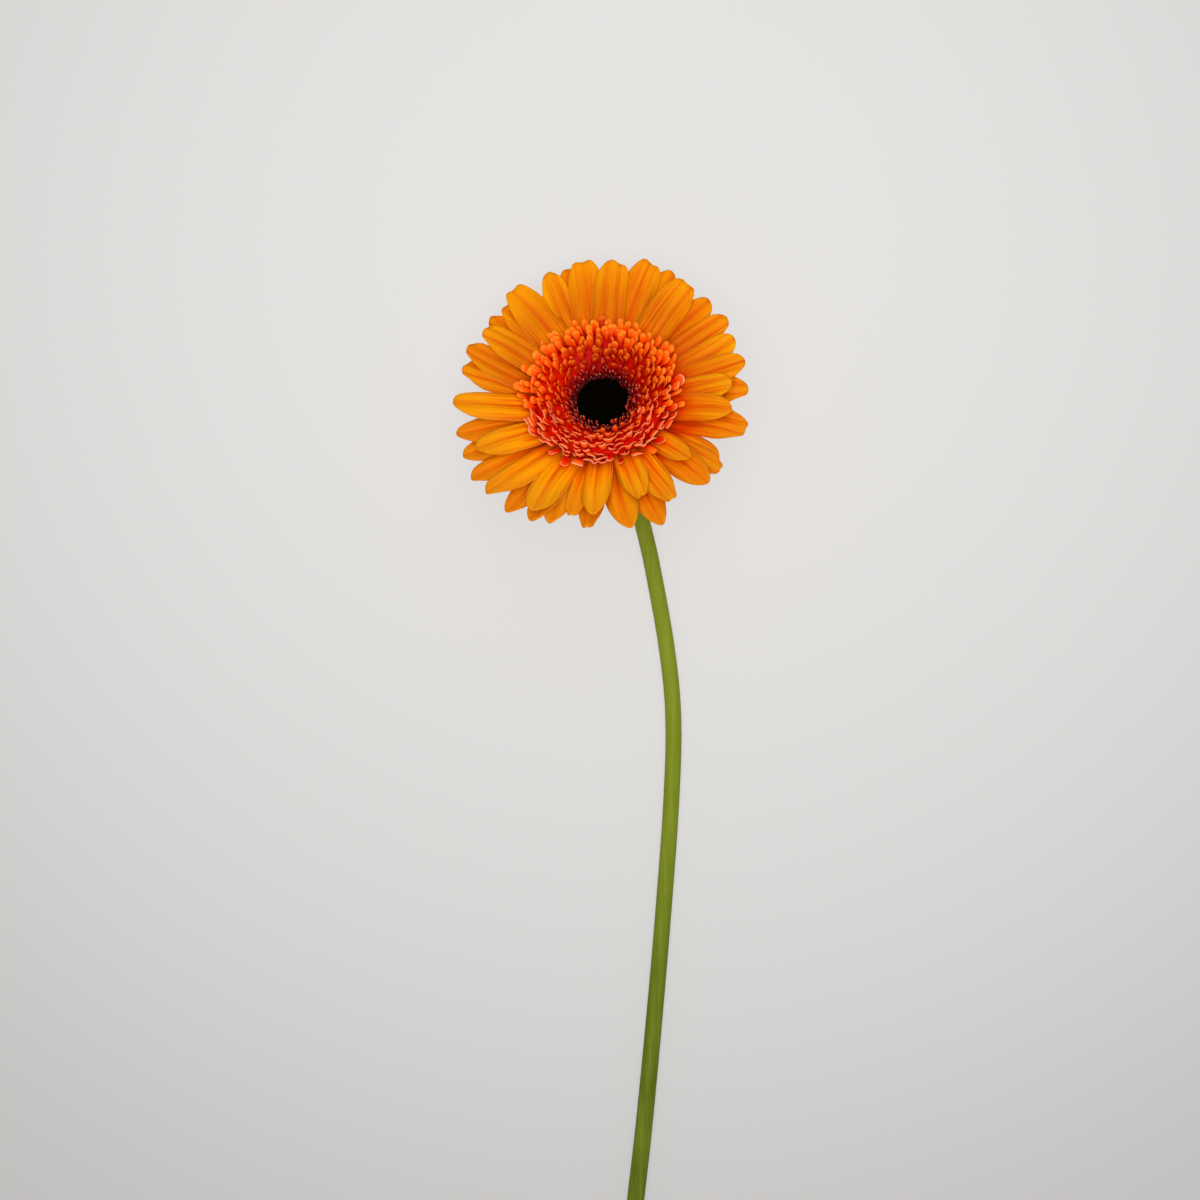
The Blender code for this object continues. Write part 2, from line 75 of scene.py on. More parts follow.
# The studio: a plain pale surface, lit from within as a light table is, with painted shade making it
# darker towards its edges and the foot of the stem, where the light falls off. A large soft light hangs
# over the flower, a weaker one stands beyond the bloom, and even light comes from all round.
class Wire:
    """A socket that can stand in sums: each operator adds a Math node to the socket's tree."""

    def __init__(self, socket):
        self.socket = socket

    @staticmethod
    def made(tree, kind, settings=None, sockets=None, out=0):
        """Adds a node of this kind with these settings, then fills its sockets, by name or number."""
        node = tree.nodes.new(kind)
        for name, value in (settings or {}).items():
            setattr(node, name, value)
        for key, value in (sockets or {}).items():
            open_now = [socket for socket in node.inputs if socket.enabled]
            named = [socket for socket in open_now if socket.name == key]
            Wire.fill(named[0] if named else open_now[key], value)
        shown = [socket for socket in node.outputs if socket.enabled]
        named = [socket for socket in shown if socket.name == out]
        return Wire(named[0] if named else shown[out])

    @staticmethod
    def fill(socket, value):
        if isinstance(value, Wire):
            socket.id_data.links.new(value.socket, socket)
        else:
            socket.default_value = value

    def also(self, kind, settings=None, sockets=None, out=0):
        return Wire.made(self.socket.id_data, kind, settings, sockets, out)

    def maths(self, operation, *others):
        terms = dict(enumerate((self, *others)))
        return self.also("ShaderNodeMath", {"operation": operation}, terms)

    def __add__(self, other):
        return self.maths("ADD", other)

    def __sub__(self, other):
        return self.maths("SUBTRACT", other)

    def __rsub__(self, other):
        return self.also("ShaderNodeMath", {"operation": "SUBTRACT"}, {0: other, 1: self})

    def __mul__(self, other):
        return self.maths("MULTIPLY", other)

    def __truediv__(self, other):
        return self.maths("DIVIDE", other)

    def __pow__(self, other):
        return self.maths("POWER", other)

    __radd__ = __add__
    __rmul__ = __mul__

    def sine(self):
        return self.maths("SINE")

    def cosine(self):
        return self.maths("COSINE")

    def above(self, other):
        """1 where this is more than the other, and 0 elsewhere."""
        return self.maths("GREATER_THAN", other)

    def step(self, low, high):
        """From 0 to 1, smoothly, as this goes from low to high."""
        sockets = {"Value": self, "From Min": low, "From Max": high}
        return self.also("ShaderNodeMapRange", {"interpolation_type": "SMOOTHSTEP"}, sockets)

    def tint(self, start, end):
        """The colour between two others, with this as the share of the second."""
        sockets = {"Factor": self, "A": start, "B": end}
        return self.also("ShaderNodeMix", {"data_type": "RGBA"}, sockets)


def srgb(red, green, blue):
    """A linear colour from sRGB values up to 255."""
    shares = [channel / 255 for channel in (red, green, blue)]
    return (*(((c + 0.055) / 1.055) ** 2.4 if c > 0.04045 else c / 12.92 for c in shares), 1.0)


def finish_of(name, roughness, **fixed):
    """A material with only its shader, which has these fixed values, and its node tree."""
    material = bpy.data.materials.new(name)
    material.use_nodes = True
    shader = material.node_tree.nodes["Principled BSDF"]
    shader.inputs["Roughness"].default_value = roughness
    for socket, value in fixed.items():
        shader.inputs[socket.replace("_", " ")].default_value = value
    return material, material.node_tree, shader.inputs


def place_of(tree):
    """The object coordinates X and Y."""
    at = Wire.made(tree, "ShaderNodeTexCoord", out="Object")
    return [Wire.made(tree, "ShaderNodeSeparateXYZ", sockets={"Vector": at}, out=axis) for axis in "XY"]


SURFACE_SIZE = 6.0
SURFACE_PALE = srgb(103, 102, 101)
SURFACE_GLOW = 4.65
BRIGHTEST_LEVEL = 0.98
BRIGHTEST_Y = 0.20  # the surface darkens away from here
GREATEST_PAINTED_FALLOFF = 0.34
PAINTED_FALLOFF_SOFTNESS = 0.16
BLACK = (0.0, 0.0, 0.0, 1.0)
SKY_COLOUR = (0.98, 0.99, 1.0, 1.0)
SKY_STRENGTH = 0.46
LIGHTS = (  # name, place, size, energy
    ("softbox", (0.15, 1.20, 1.40), 1.1, 7.0),
    ("fill", (-0.08, 0.02, 1.55), 1.2, 17.3),
)

surface_paint, tree, shader = finish_of("pale_surface", 0.9, Emission_Strength=SURFACE_GLOW)
x, y = place_of(tree)
# Painted shade: the surface darkens away from its brightest place, as the light falls off.
painted_falloff = x * x * 2.2 + (y - BRIGHTEST_Y) * (y - BRIGHTEST_Y) * 2.3 - x * 0.06
level = BRIGHTEST_LEVEL - painted_falloff.maths("SMOOTH_MIN", GREATEST_PAINTED_FALLOFF, PAINTED_FALLOFF_SOFTNESS)
Wire.fill(shader["Base Color"], level.tint(BLACK, SURFACE_PALE))
Wire.fill(shader["Emission Color"], level.tint(BLACK, SURFACE_PALE))
bm = bmesh.new()
bmesh.ops.create_grid(bm, x_segments=4, y_segments=4, size=SURFACE_SIZE / 2)
sheet = bpy.data.meshes.new("surface")
bm.to_mesh(sheet)
bm.free()
sheet.materials.append(surface_paint)
surface = bpy.data.objects.new("surface", sheet)
bpy.context.scene.collection.objects.link(surface)

world = bpy.data.worlds.new("studio")
bpy.context.scene.world = world
world.use_nodes = True
sky = world.node_tree.nodes["Background"].inputs
sky["Color"].default_value = SKY_COLOUR
sky["Strength"].default_value = SKY_STRENGTH

for name, place, size, energy in LIGHTS:
    light = bpy.data.lights.new(name, "AREA")
    light.size = size
    light.energy = energy
    lamp = bpy.data.objects.new(name, light)
    lamp.location = place
    lamp.rotation_euler = (EYE_PLACE - lamp.location).to_track_quat("-Z", "Y").to_euler()
    bpy.context.scene.collection.objects.link(lamp)


# The stem: one leafless green scape, bent at the neck, with fine ribs along it and short soft
# hairs on all but its underside. It grew in one piece and was cut on the slant at its foot.
HEAD_LEAN = math.radians(22.0)
HEAD_SWING = math.radians(16.0)
NECK_PLACE = Vector((0.01028, 0.12273, 0.0))
CUP_BASE = -0.0176
STEM_THICK = 0.0057
STEM_NECK_THICK = 0.0062
STEM_FOOT_THICK = 0.0063
STEM_LIFT = 0.966  # height of the middle over the surface, as a share of the radius
RIB_MEAN = 0.975  # between the ribs and their grooves, as a share of the radius
STEM_STEP = 0.003
NECK_STEPS = 22
NECK_HANDLE = 0.0088
FOOT_SHARE = 0.6
STEM_ROUTE = (
    (-0.0010, 0.0038),
    (0.0000, 0.0000),
    (0.0043, -0.0165),
    (0.0080, -0.0328),
    (0.0129, -0.0608),
    (0.0151, -0.0850),
    (0.0143, -0.1150),
    (0.0113, -0.1560),
    (0.0081, -0.1930),
    (0.0047, -0.2283),
    (0.0017, -0.2550),
    (-0.0012, -0.2860),
    (-0.0048, -0.3175),
)
STEM_NECK_GREEN = srgb(116, 130, 28)
STEM_MIDDLE_GREEN = srgb(104, 119, 14)
STEM_FOOT_SHADED_GREEN = srgb(74, 88, 0)
STEM_STREAK = srgb(152, 160, 52)
STEM_CUT = srgb(176, 184, 116)
STEM_HAIR = srgb(168, 178, 80)
BUMP_HEIGHT = 0.0002


def head_matrix():
    """Turns and moves what is made in the head's own axes to where the head lies."""
    level = math.sin(HEAD_LEAN)
    axis = Vector((-level * math.sin(HEAD_SWING), level * math.cos(HEAD_SWING), math.cos(HEAD_LEAN)))
    up = Vector((0, 1, 0))
    up = (up - axis * up.dot(axis)).normalized()
    turn = Matrix((up.cross(axis), up, axis)).transposed().to_4x4()
    return Matrix.Translation(EYE_PLACE) @ turn


HEAD = head_matrix()


def smooth_step(t):
    t = min(1.0, max(0.0, t))
    return t * t * (3 - 2 * t)


def stem_line():
    """Middle and thickness of the stem at each station, from the cup to the cut foot."""
    route = [NECK_PLACE.xy + Vector(point) for point in STEM_ROUTE]
    ends = [route[0] * 2 - route[1], *route, route[-1] * 2 - route[-2]]
    lying = []
    for a, b, c, d in zip(ends, ends[1:], ends[2:], ends[3:]):
        pieces = max(1, round((c - b).length / STEM_STEP))
        for s in (k / pieces for k in range(pieces)):
            curve = (2 * a - 5 * b + 4 * c - d) * s**2 + (3 * b - a - 3 * c + d) * s**3
            lying.append(b + ((c - a) * s + curve) / 2)
    lying.append(route[-1])
    heading = (lying[1] - lying[0]).normalized().to_3d()
    start = Vector((*lying[0], STEM_THICK * STEM_LIFT / 2))
    axis = HEAD.to_3x3().col[2]
    top = HEAD @ Vector((0, 0, CUP_BASE))
    guides = (top, top - axis * NECK_HANDLE, start - heading * NECK_HANDLE, start)
    line = []
    for k in range(NECK_STEPS):
        s = k / NECK_STEPS
        weights = ((1 - s) ** 3, 3 * s * (1 - s) ** 2, 3 * s * s * (1 - s), s**3)
        middle = sum((guide * weight for guide, weight in zip(guides, weights)), Vector())
        line.append((middle, STEM_THICK + (STEM_NECK_THICK - STEM_THICK) * (1 - s) ** 2))
    for k, point in enumerate(lying):
        near_foot = 1 - (1 - k / (len(lying) - 1)) / FOOT_SHARE
        thick = STEM_THICK + (STEM_FOOT_THICK - STEM_THICK) * smooth_step(near_foot)
        line.append((Vector((*point, thick * STEM_LIFT / 2)), thick))
    return line


def new_tree(name, sizes):
    """An empty Geometry Nodes tree that takes a shape and these sizes, given as name to kind."""
    tree = bpy.data.node_groups.new(name, "GeometryNodeTree")
    tree.interface.new_socket("Geometry", in_out="OUTPUT", socket_type="NodeSocketGeometry")
    for size, kind in {"Geometry": "Geometry", **sizes}.items():
        tree.interface.new_socket(size, in_out="INPUT", socket_type="NodeSocket" + kind)
    given = tree.nodes.new("NodeGroupInput")
    return tree, {socket.name: Wire(socket) for socket in given.outputs if socket.name}


def close_tree(shape, material):
    """Ends a tree: copies made real, shaded smooth and given their material."""
    shape = shape.also("GeometryNodeRealizeInstances", sockets={"Geometry": shape})
    shape = shape.also("GeometryNodeSetShadeSmooth", sockets={"Geometry": shape})
    shape = shape.also("GeometryNodeSetMaterial", sockets={"Geometry": shape, "Material": material})
    end = shape.socket.id_data.nodes.new("NodeGroupOutput")
    Wire.fill(end.inputs["Geometry"], shape)


def noted(shape, name, value, kind="FLOAT"):
    """The shape with a value stored on its points under a name."""
    sockets = {"Geometry": shape, "Name": name, "Value": value}
    return shape.also("GeometryNodeStoreNamedAttribute", {"data_type": kind}, sockets)


def draw_between(wire, low, high, seed, kind="FLOAT"):
    """A random number for each point."""
    sockets = {"Min": low, "Max": high, "Seed": seed}
    return wire.also("FunctionNodeRandomValue", {"data_type": kind}, sockets)


def merged(first, second):
    """Two shapes of a tree as one."""
    both = first.also("GeometryNodeJoinGeometry", sockets={"Geometry": first})
    first.socket.id_data.links.new(second.socket, both.socket.node.inputs["Geometry"])
    return both


def rotation(wire, **angles):
    """A turn by angles about X, Y and Z, in the wire's tree."""
    euler = wire.also("ShaderNodeCombineXYZ", sockets=angles)
    return euler.also("FunctionNodeEulerToRotation", sockets={"Euler": euler})


def grown(name, data, steps):
    """An object whose mesh is what the trees make of the data, one after another."""
    seed = bpy.data.objects.new(name + "_start", data)
    bpy.context.scene.collection.objects.link(seed)
    for tree, sizes in steps:
        modifier = seed.modifiers.new(tree.name, "NODES")
        modifier.node_group = tree
        keys = {item.name: item.identifier for item in tree.interface.items_tree if item.in_out == "INPUT"}
        for size, value in sizes.items():
            modifier[keys[size]] = value
    bpy.context.view_layer.update()
    mesh = bpy.data.meshes.new_from_object(seed.evaluated_get(bpy.context.evaluated_depsgraph_get()))
    seed.modifiers.clear()
    bpy.data.objects.remove(seed)
    mesh.name = name
    piece = bpy.data.objects.new(name, mesh)
    bpy.context.scene.collection.objects.link(piece)
    return piece


tree, given = new_tree("ribbed_scape", {
    "Sides": "Int", "Ribs": "Int", "Rib Depth": "Float", "Cut Slope": "Float",
    "Hairs per m2": "Float", "Hair Length": "Float", "Hair Width": "Float", "Hair Lean": "Float",
    "Seed": "Int", "Material": "Material",
})
line = given["Geometry"]
line = noted(line, "along", Wire.made(tree, "GeometryNodeSplineParameter", out="Factor"))
line = noted(line, "middle", Wire.made(tree, "GeometryNodeInputPosition"), "FLOAT_VECTOR")
line = noted(line, "heading", Wire.made(tree, "GeometryNodeInputTangent"), "FLOAT_VECTOR")
ring = Wire.made(tree, "GeometryNodeCurvePrimitiveCircle", sockets={
    "Resolution": given["Sides"], "Radius": 1.0})
turn = Wire.made(tree, "GeometryNodeSplineParameter", out="Factor") * math.tau
wave = (turn * given["Ribs"]).cosine() * given["Rib Depth"]
spot = Wire.made(tree, "GeometryNodeInputPosition")
offset = spot.also("ShaderNodeVectorMath", {"operation": "SCALE"}, {"Vector": spot, "Scale": wave})
ring = ring.also("GeometryNodeSetPosition", sockets={"Geometry": ring, "Offset": offset})
radius = Wire.made(tree, "GeometryNodeInputRadius")
tube = line.also("GeometryNodeCurveToMesh", sockets={
    "Curve": line, "Profile Curve": ring, "Scale": radius, "Fill Caps": True})
spot = Wire.made(tree, "GeometryNodeInputPosition")
along, middle, heading = (
    Wire.made(tree, "GeometryNodeInputNamedAttribute", {"data_type": kind}, {"Name": name})
    for name, kind in (("along", "FLOAT"), ("middle", "FLOAT_VECTOR"), ("heading", "FLOAT_VECTOR"))
)
lift = spot.also("ShaderNodeSeparateXYZ", sockets={"Vector": spot}, out="Z")
clear = lift.above(given["Hair Length"] * 2)
height = lift - middle.also("ShaderNodeSeparateXYZ", sockets={"Vector": middle}, out="Z")
at_foot = along.above(0.9999)
offset = heading.also("ShaderNodeVectorMath", {"operation": "SCALE"}, {
    "Vector": heading, "Scale": 0 - height * given["Cut Slope"] * at_foot})
tube = tube.also("GeometryNodeSetPosition", sockets={"Geometry": tube, "Offset": offset})
points = tube.also("GeometryNodeDistributePointsOnFaces", sockets={
    "Mesh": tube, "Selection": clear, "Density": given["Hairs per m2"], "Seed": given["Seed"]})
normal = Wire(points.socket.node.outputs["Normal"])
stray = Wire.made(tree, "FunctionNodeRandomValue", {"data_type": "FLOAT_VECTOR"}, {
    "Min": (-1.0, -1.0, -1.0), "Max": (1.0, 1.0, 1.0), "Seed": given["Seed"]})
stray = stray.also("ShaderNodeVectorMath", {"operation": "SCALE"}, {
    "Vector": stray, "Scale": given["Hair Lean"]})
aim = normal.also("ShaderNodeVectorMath", {"operation": "ADD"}, {0: normal, 1: stray})
turned = aim.also("FunctionNodeAlignRotationToVector", {"axis": "Z"}, {"Vector": aim})
hair = Wire.made(tree, "GeometryNodeMeshCone", {"fill_type": "TRIANGLE_FAN"}, {
    "Vertices": 3, "Radius Top": 0.0, "Radius Bottom": given["Hair Width"] * 0.5,
    "Depth": given["Hair Length"]})
points = noted(points, "hair", 1.0)
sizes = draw_between(points, 0.5, 1.2, given["Seed"])
hairs = points.also("GeometryNodeInstanceOnPoints", sockets={
    "Points": points, "Instance": hair, "Rotation": turned, "Scale": sizes})
close_tree(merged(tube, hairs), given["Material"])
scape_tree = tree


def noise_on(tree, scale, stretch=(1.0, 1.0, 1.0)):
    """Cloudy noise over the object coordinates."""
    at = Wire.made(tree, "ShaderNodeTexCoord", out="Object")
    at = at.also("ShaderNodeMapping", sockets={"Vector": at, "Scale": stretch})
    return at.also("ShaderNodeTexNoise", sockets={"Vector": at, "Scale": scale, "Detail": 2.0})


def note_of(tree, name):
    """A value stored on the mesh, in a material."""
    return Wire.made(tree, "ShaderNodeAttribute", {"attribute_name": name}, out="Fac")


def bumped(height, strength):
    """The normal of a skin that stands up a little where this is high."""
    return height.also("ShaderNodeBump", sockets={
        "Strength": strength, "Distance": BUMP_HEIGHT, "Height": height})


stem_paint, tree, shader = finish_of("stem_skin", 0.6, Specular_IOR_Level=0.1)
along, hair = note_of(tree, "along"), note_of(tree, "hair")
streak = noise_on(tree, 900.0, (1.0, 0.04, 1.0))
blotch = noise_on(tree, 70.0)
# The green darkens from the neck towards the foot: painted shade, as the light falls off down the stem.
green = along.step(0.16, 0.46).tint(STEM_NECK_GREEN, STEM_MIDDLE_GREEN)
green = along.step(0.36, 0.7).tint(green, STEM_FOOT_SHADED_GREEN)
green = ((streak - 0.5) * 0.5 + (blotch - 0.5) * 0.3 + 0.15).tint(green, STEM_STREAK)
green = along.step(0.9996, 0.9999).tint(green, STEM_CUT)
Wire.fill(shader["Base Color"], hair.tint(green, STEM_HAIR))
Wire.fill(shader["Normal"], bumped(streak, 0.25))

route = bpy.data.curves.new("stem_route", "CURVE")
route.dimensions = "3D"
stations = stem_line()
spline = route.splines.new("POLY")
spline.points.add(len(stations) - 1)
for point, (place, thick) in zip(spline.points, stations):
    point.co = (*place, 1.0)
    point.radius = thick / 2 * RIB_MEAN
scape = grown("stem_scape", route, [(scape_tree, {
    "Sides": 56, "Ribs": 14, "Rib Depth": 0.016, "Cut Slope": math.tan(math.radians(28)),
    "Hairs per m2": 1.1e6, "Hair Length": 0.0007, "Hair Width": 0.00006, "Hair Lean": 0.7,
    "Seed": 4, "Material": stem_paint})])
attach(scape, "root")
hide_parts("stem")


# The cup under the head: a solid green receptacle clad in two rows of narrow pointed bracts, which
# are keeled, hairy scales that overlap and stand free at their tips. All of it grew as one body.
CUP_TOP = -0.0064
CUP_RADIUS = 0.0128
CUP_BULGE = (0.8, 1.35)
CUP_STEPS = 16
CUP_SIDES = 64
BRACT_THICK = 0.0007
BRACT_KEEL = 0.0004
BRACT_FREE = 0.6  # where along it a bract starts to stand free
BRACT_ROWS = (  # count, half-width, foot along the cup's side, tip
    (13, 0.0023, 0.22, (0.0146, -0.0095)),
    (18, 0.0019, 0.48, (0.0170, -0.0064)),
)
BRACT_GREEN = srgb(112, 132, 48)
BRACT_SHADE = srgb(72, 92, 28)
BRACT_TIP = srgb(128, 96, 62)


def mesh_of(name, points, faces, notes=None):
    """A mesh of these points and faces, with named values stored on its points."""
    mesh = bpy.data.meshes.new(name)
    mesh.from_pydata([tuple(point) for point in points], [], faces)
    for note, values in (notes or {}).items():
        mesh.attributes.new(note, "FLOAT", "POINT").data.foreach_set("value", values)
    mesh.shade_smooth()
    return mesh


def turned_mesh(name, profile, sides):
    """Spins an outline of (radius, height) about the head's axis, as one closed skin. An outline
    that starts on the axis ends on it, and any other is closed on itself."""
    points, faces, rings = [], [], []
    for radius, height in profile:
        count = sides if radius > 0 else 1
        angles = [math.tau * k / sides for k in range(count)]
        rings.append([len(points) + k % count for k in range(sides)])
        points.extend((radius * math.cos(a), radius * math.sin(a), height) for a in angles)
    if profile[0][0] > 0:
        rings.append(rings[0])
    for lower, upper in zip(rings, rings[1:]):
        for k in range(sides):
            n = (k + 1) % sides
            faces.append(tuple(dict.fromkeys((lower[k], lower[n], upper[n], upper[k]))))
    return mesh_of(name, points, faces)


def cup_side(t):
    """Radius and height on the outside of the cup, from its base at 0 to its rim at 1."""
    neck = STEM_NECK_THICK / 2
    out, up = CUP_BULGE
    radius = neck + (CUP_RADIUS - neck) * math.sin(math.pi / 2 * t) ** out
    return radius, CUP_BASE + (CUP_TOP - CUP_BASE) * t**up


def blade_mesh(name, rows, columns, surface_at, thick_at):
    """A closed blade: surface_at gives its middle sheet's point and normal at (along, across), and
    thick_at its thickness. Both places run from 0 to 1, and they are stored as notes."""
    points, faces = [], []
    notes = {"along": [], "across": [], "under": []}
    for under in (0, 1):
        for i in range(rows + 1):
            for j in range(columns + 1):
                along, across = i / rows, j / columns
                point, normal = surface_at(along, across)
                points.append(point + normal * thick_at(along, across) * (0.5 - under))
                notes["along"].append(along)
                notes["across"].append(across)
                notes["under"].append(float(under))
    wide = columns + 1
    sheet = wide * (rows + 1)
    for i in range(rows):
        for j in range(columns):
            a = i * wide + j
            faces.append((a, a + 1, a + wide + 1, a + wide))
            faces.append(tuple(sheet + k for k in (a, a + wide, a + wide + 1, a + 1)))
    rim = [*range(wide), *(i * wide + columns for i in range(1, rows + 1))]
    rim += [rows * wide + j for j in range(columns - 1, -1, -1)]
    rim += [i * wide for i in range(rows - 1, 0, -1)]
    for a, b in zip(rim, rim[1:] + rim[:1]):
        faces.append((b, a, sheet + a, sheet + b))
    return mesh_of(name, points, faces, notes)


def bract_mesh(half, foot, tip):
    """A bract at the top of the bloom, on the cup's side up to near the rim and then free."""

    def surface_at(along, across):
        def line(s):
            radius, height = cup_side(foot + (1 - foot) * min(1.0, s * 1.25))
            free = smooth_step((s - BRACT_FREE) / (1 - BRACT_FREE))
            return Vector((0, radius + (tip[0] - radius) * free, height + (tip[1] - height) * free))

        q = 2 * across - 1
        middle = line(along)
        ahead = (line(min(1.0, along + 0.03)) - line(max(0.0, along - 0.03))).normalized()
        normal = Vector((0, -ahead.z, ahead.y)) * -1
        wide = half * (0.6 + 0.4 * smooth_step(along / 0.5)) * max(0.06, 1 - along**2.2) ** 0.8
        keel = BRACT_KEEL * (1 - abs(q)) + 0.0002
        return middle + Vector((q * wide, 0, 0)) + normal * keel, normal

    def thick_at(along, across):
        return BRACT_THICK * (1.05 - along * 0.6)

    return blade_mesh("bract", 14, 6, surface_at, thick_at)


tree, given = new_tree("ring_of_scales", {
    "Scale Shape": "Object", "Count": "Int", "Turn": "Float", "Scatter": "Float",
    "Size Scatter": "Float", "Seed": "Int", "Material": "Material",
})
shape = Wire.made(tree, "GeometryNodeObjectInfo", sockets={
    "Object": given["Scale Shape"]}, out="Geometry")
index = Wire.made(tree, "GeometryNodeInputIndex")
spots = Wire.made(tree, "GeometryNodeMeshLine", {"mode": "OFFSET"}, {
    "Count": given["Count"], "Offset": (0.0, 0.0, 0.0)})
spots = noted(spots, "tone", draw_between(index, 0.0, 1.0, given["Seed"]))
stray = draw_between(index, -1.0, 1.0, given["Seed"] + 1) * given["Scatter"]
bearing = index * math.tau / given["Count"] + given["Turn"] + stray
lean = draw_between(index, -1.0, 1.0, given["Seed"] + 2) * given["Scatter"] * 0.5
size = draw_between(index, -1.0, 1.0, given["Seed"] + 3) * given["Size Scatter"] + 1
around = rotation(bearing, X=lean, Z=0 - bearing)
ring = spots.also("GeometryNodeInstanceOnPoints", sockets={
    "Points": spots, "Instance": shape, "Rotation": around, "Scale": size})
close_tree(merged(given["Geometry"], ring), given["Material"])
scale_tree = tree

bract_paint, tree, shader = finish_of("bract_skin", 0.62, Specular_IOR_Level=0.2)
along, tone = note_of(tree, "along"), note_of(tree, "tone")
grain = noise_on(tree, 1400.0)
green = (tone * 0.5 + grain * 0.5).tint(BRACT_SHADE, BRACT_GREEN)
Wire.fill(shader["Base Color"], along.step(0.82, 1.0).tint(green, BRACT_TIP))
Wire.fill(shader["Normal"], bumped(grain, 0.4))

wall = [cup_side(k / CUP_STEPS) for k in range(CUP_STEPS + 1)]
cup = turned_mesh("cup", [(0, CUP_BASE), *wall, (0, CUP_TOP)], CUP_SIDES)
steps, shapes = [], []
for row, (count, half, foot, tip) in enumerate(BRACT_ROWS):
    shapes.append(bpy.data.objects.new("bract_shape", bract_mesh(half, foot, tip)))
    steps.append((scale_tree, {
        "Scale Shape": shapes[-1], "Count": count, "Turn": math.pi * row / count, "Scatter": 0.04,
        "Size Scatter": 0.02, "Seed": 10 + row, "Material": bract_paint}))
involucre = grown("bract_cup", cup, steps)
involucre.data.transform(HEAD)
for shape in shapes:
    bpy.data.objects.remove(shape)
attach(involucre, "root")
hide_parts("involucre")


# The ray florets: long golden orange straps with rounded tips, in two whorls and a few below them.
# Each grew from the rim of the head's plate, with two or three raised ridges and many fine veins.
# Painted shade makes it redder near the ring, in its creases and on the right of the bloom.
RAY_PLATE = ((0, -0.0066), (0.0124, -0.0066), (0.0124, -0.0030), (0, -0.0030))
PLATE_SIDES = 96
RAY_ROOT = 0.0095
RAY_THICK = 0.00045
RAY_ROWS = 26
RAY_COLUMNS = 16
CLAW_WIDTH = 0.40
CLAW_END = 0.50
SHOULDER = 0.74
RIDGE_HEIGHT = 0.21  # this and the next two are shares of the half-width
EDGE_DROOP = 0.12
FINE_RIDGE_HEIGHT = 0.014
FINE_RIDGES = 9
BROAD_NOTCH = 0.02  # how much deeper a broad tip is notched, as a share of the length
RAYS_ABOVE = (  # bearing of the tip in degrees, its distance from the eye and the width in mm
    (5, 48.7, 12.8),
    (19, 51.0, 13.2),
    (36, 50.0, 13.0),
    (65, 49.6, 11.0),
    (75, 50.0, 10.6),
    (83, 44.2, 10.4),
    (95, 43.4, 9.8),
    (125, 34.9, 8.0),
    (146, 41.5, 9.8),
    (159, 34.7, 10.0),
    (185, 38.1, 9.8),
    (212, 43.6, 12.0),
    (231, 50.0, 11.0),
    (249, 45.2, 11.2),
    (269, 50.8, 11.4),
    (301, 47.6, 10.8),
    (321, 49.8, 13.0),
    (337, 48.6, 10.8),
    (352, 49.2, 13.0),
)
RAYS_BELOW = (
    (27, 51.0, 11.0),
    (47, 50.6, 11.2),
    (57, 51.2, 10.6),
    (86, 49.6, 10.6),
    (102, 49.4, 11.8),
    (121, 46.2, 10.6),
    (129, 44.4, 11.2),
    (155, 46.4, 10.4),
    (168, 43.2, 11.2),
    (187, 43.6, 9.0),
    (195, 40.8, 8.8),
    (203, 45.2, 10.0),
    (211, 46.8, 10.6),
    (221, 49.0, 10.6),
    (239, 51.4, 10.8),
    (249, 50.6, 10.8),
    (257, 50.6, 11.0),
    (284, 49.2, 11.2),
    (292, 50.0, 10.8),
    (307, 48.4, 10.0),
    (314, 47.4, 10.0),
    (345, 48.0, 10.0),
)
WHORL_SEED = 113
HABIT_SEED = 29
WHORLS = (  # the tips, root height, tip height, and how much higher tips at the bottom are
    (RAYS_ABOVE, -0.0047, 0.0092, 0.0034),
    (RAYS_BELOW, -0.0051, 0.0056, 0.0028),
)
LAYER_STEP = 0.0007
RAY_RISE = 0.0012
RAY_CUPPING = 0.0022
HEIGHT_SCATTER = 0.0003
RISE_SCATTER = 0.0005
SWEEP_SCATTER = math.radians(2.0)
ROLL = math.radians(6.5)
ROLL_SCATTER = math.radians(2.5)
BACK_COUNT = 8
BACK_ROOT = -0.0051
BACK_START = math.radians(-15.0)
BACK_SPREAD = 0.0465
BACK_WIDTH = 0.0110
BACK_TIP = -0.0022
BACK_LEAN = 0.0060
BACK_RISE = (0.0012, -0.22)
REST_ARC = math.radians(35.0)
REST_LOWEST = -0.030
RAY_BASE_AND_SHADE = srgb(208, 42, 0)
RAY_THROAT = srgb(236, 102, 0)
RAY_BLADE = srgb(252, 141, 0)
RAY_TIP_AND_HIGHLIGHT = srgb(255, 176, 4)
RAY_EDGE_HIGHLIGHT = srgb(255, 178, 56)
RAY_VEIN_AND_SHADE = srgb(212, 68, 0)
RAY_TIP_SHADE = srgb(188, 106, 12)
RAY_SHADE = srgb(182, 84, 0)
RAY_BACK = srgb(244, 150, 30)


def on_bend(root, tip, rise, s):
    """Radius and height at s of the curve from root to tip whose middle stands up by rise."""
    middle = ((root[0] + tip[0]) / 2, (root[1] + tip[1]) / 2 + 2 * rise)
    weights = ((1 - s) ** 2, 2 * s * (1 - s), s * s)
    return [sum(w * p[axis] for w, p in zip(weights, (root, middle, tip))) for axis in (0, 1)]


def floret_frame(bearing, root, tip, rise, sweep, roll, s):
    """Middle, sideways direction and upper normal of a floret at s, from 0 at its root to 1."""

    def middle(at):
        radius, height = on_bend(root, tip, rise, at)
        turn = bearing + sweep * at * at
        return Vector((radius * math.sin(turn), radius * math.cos(turn), height))

    along = (middle(s + 0.01) - middle(s - 0.01)).normalized()
    side = Vector((math.cos(bearing), -math.sin(bearing), 0))
    side = (side - along * side.dot(along)).normalized()
    side = Matrix.Rotation(roll, 3, along) @ side
    return middle(s), side, side.cross(along)


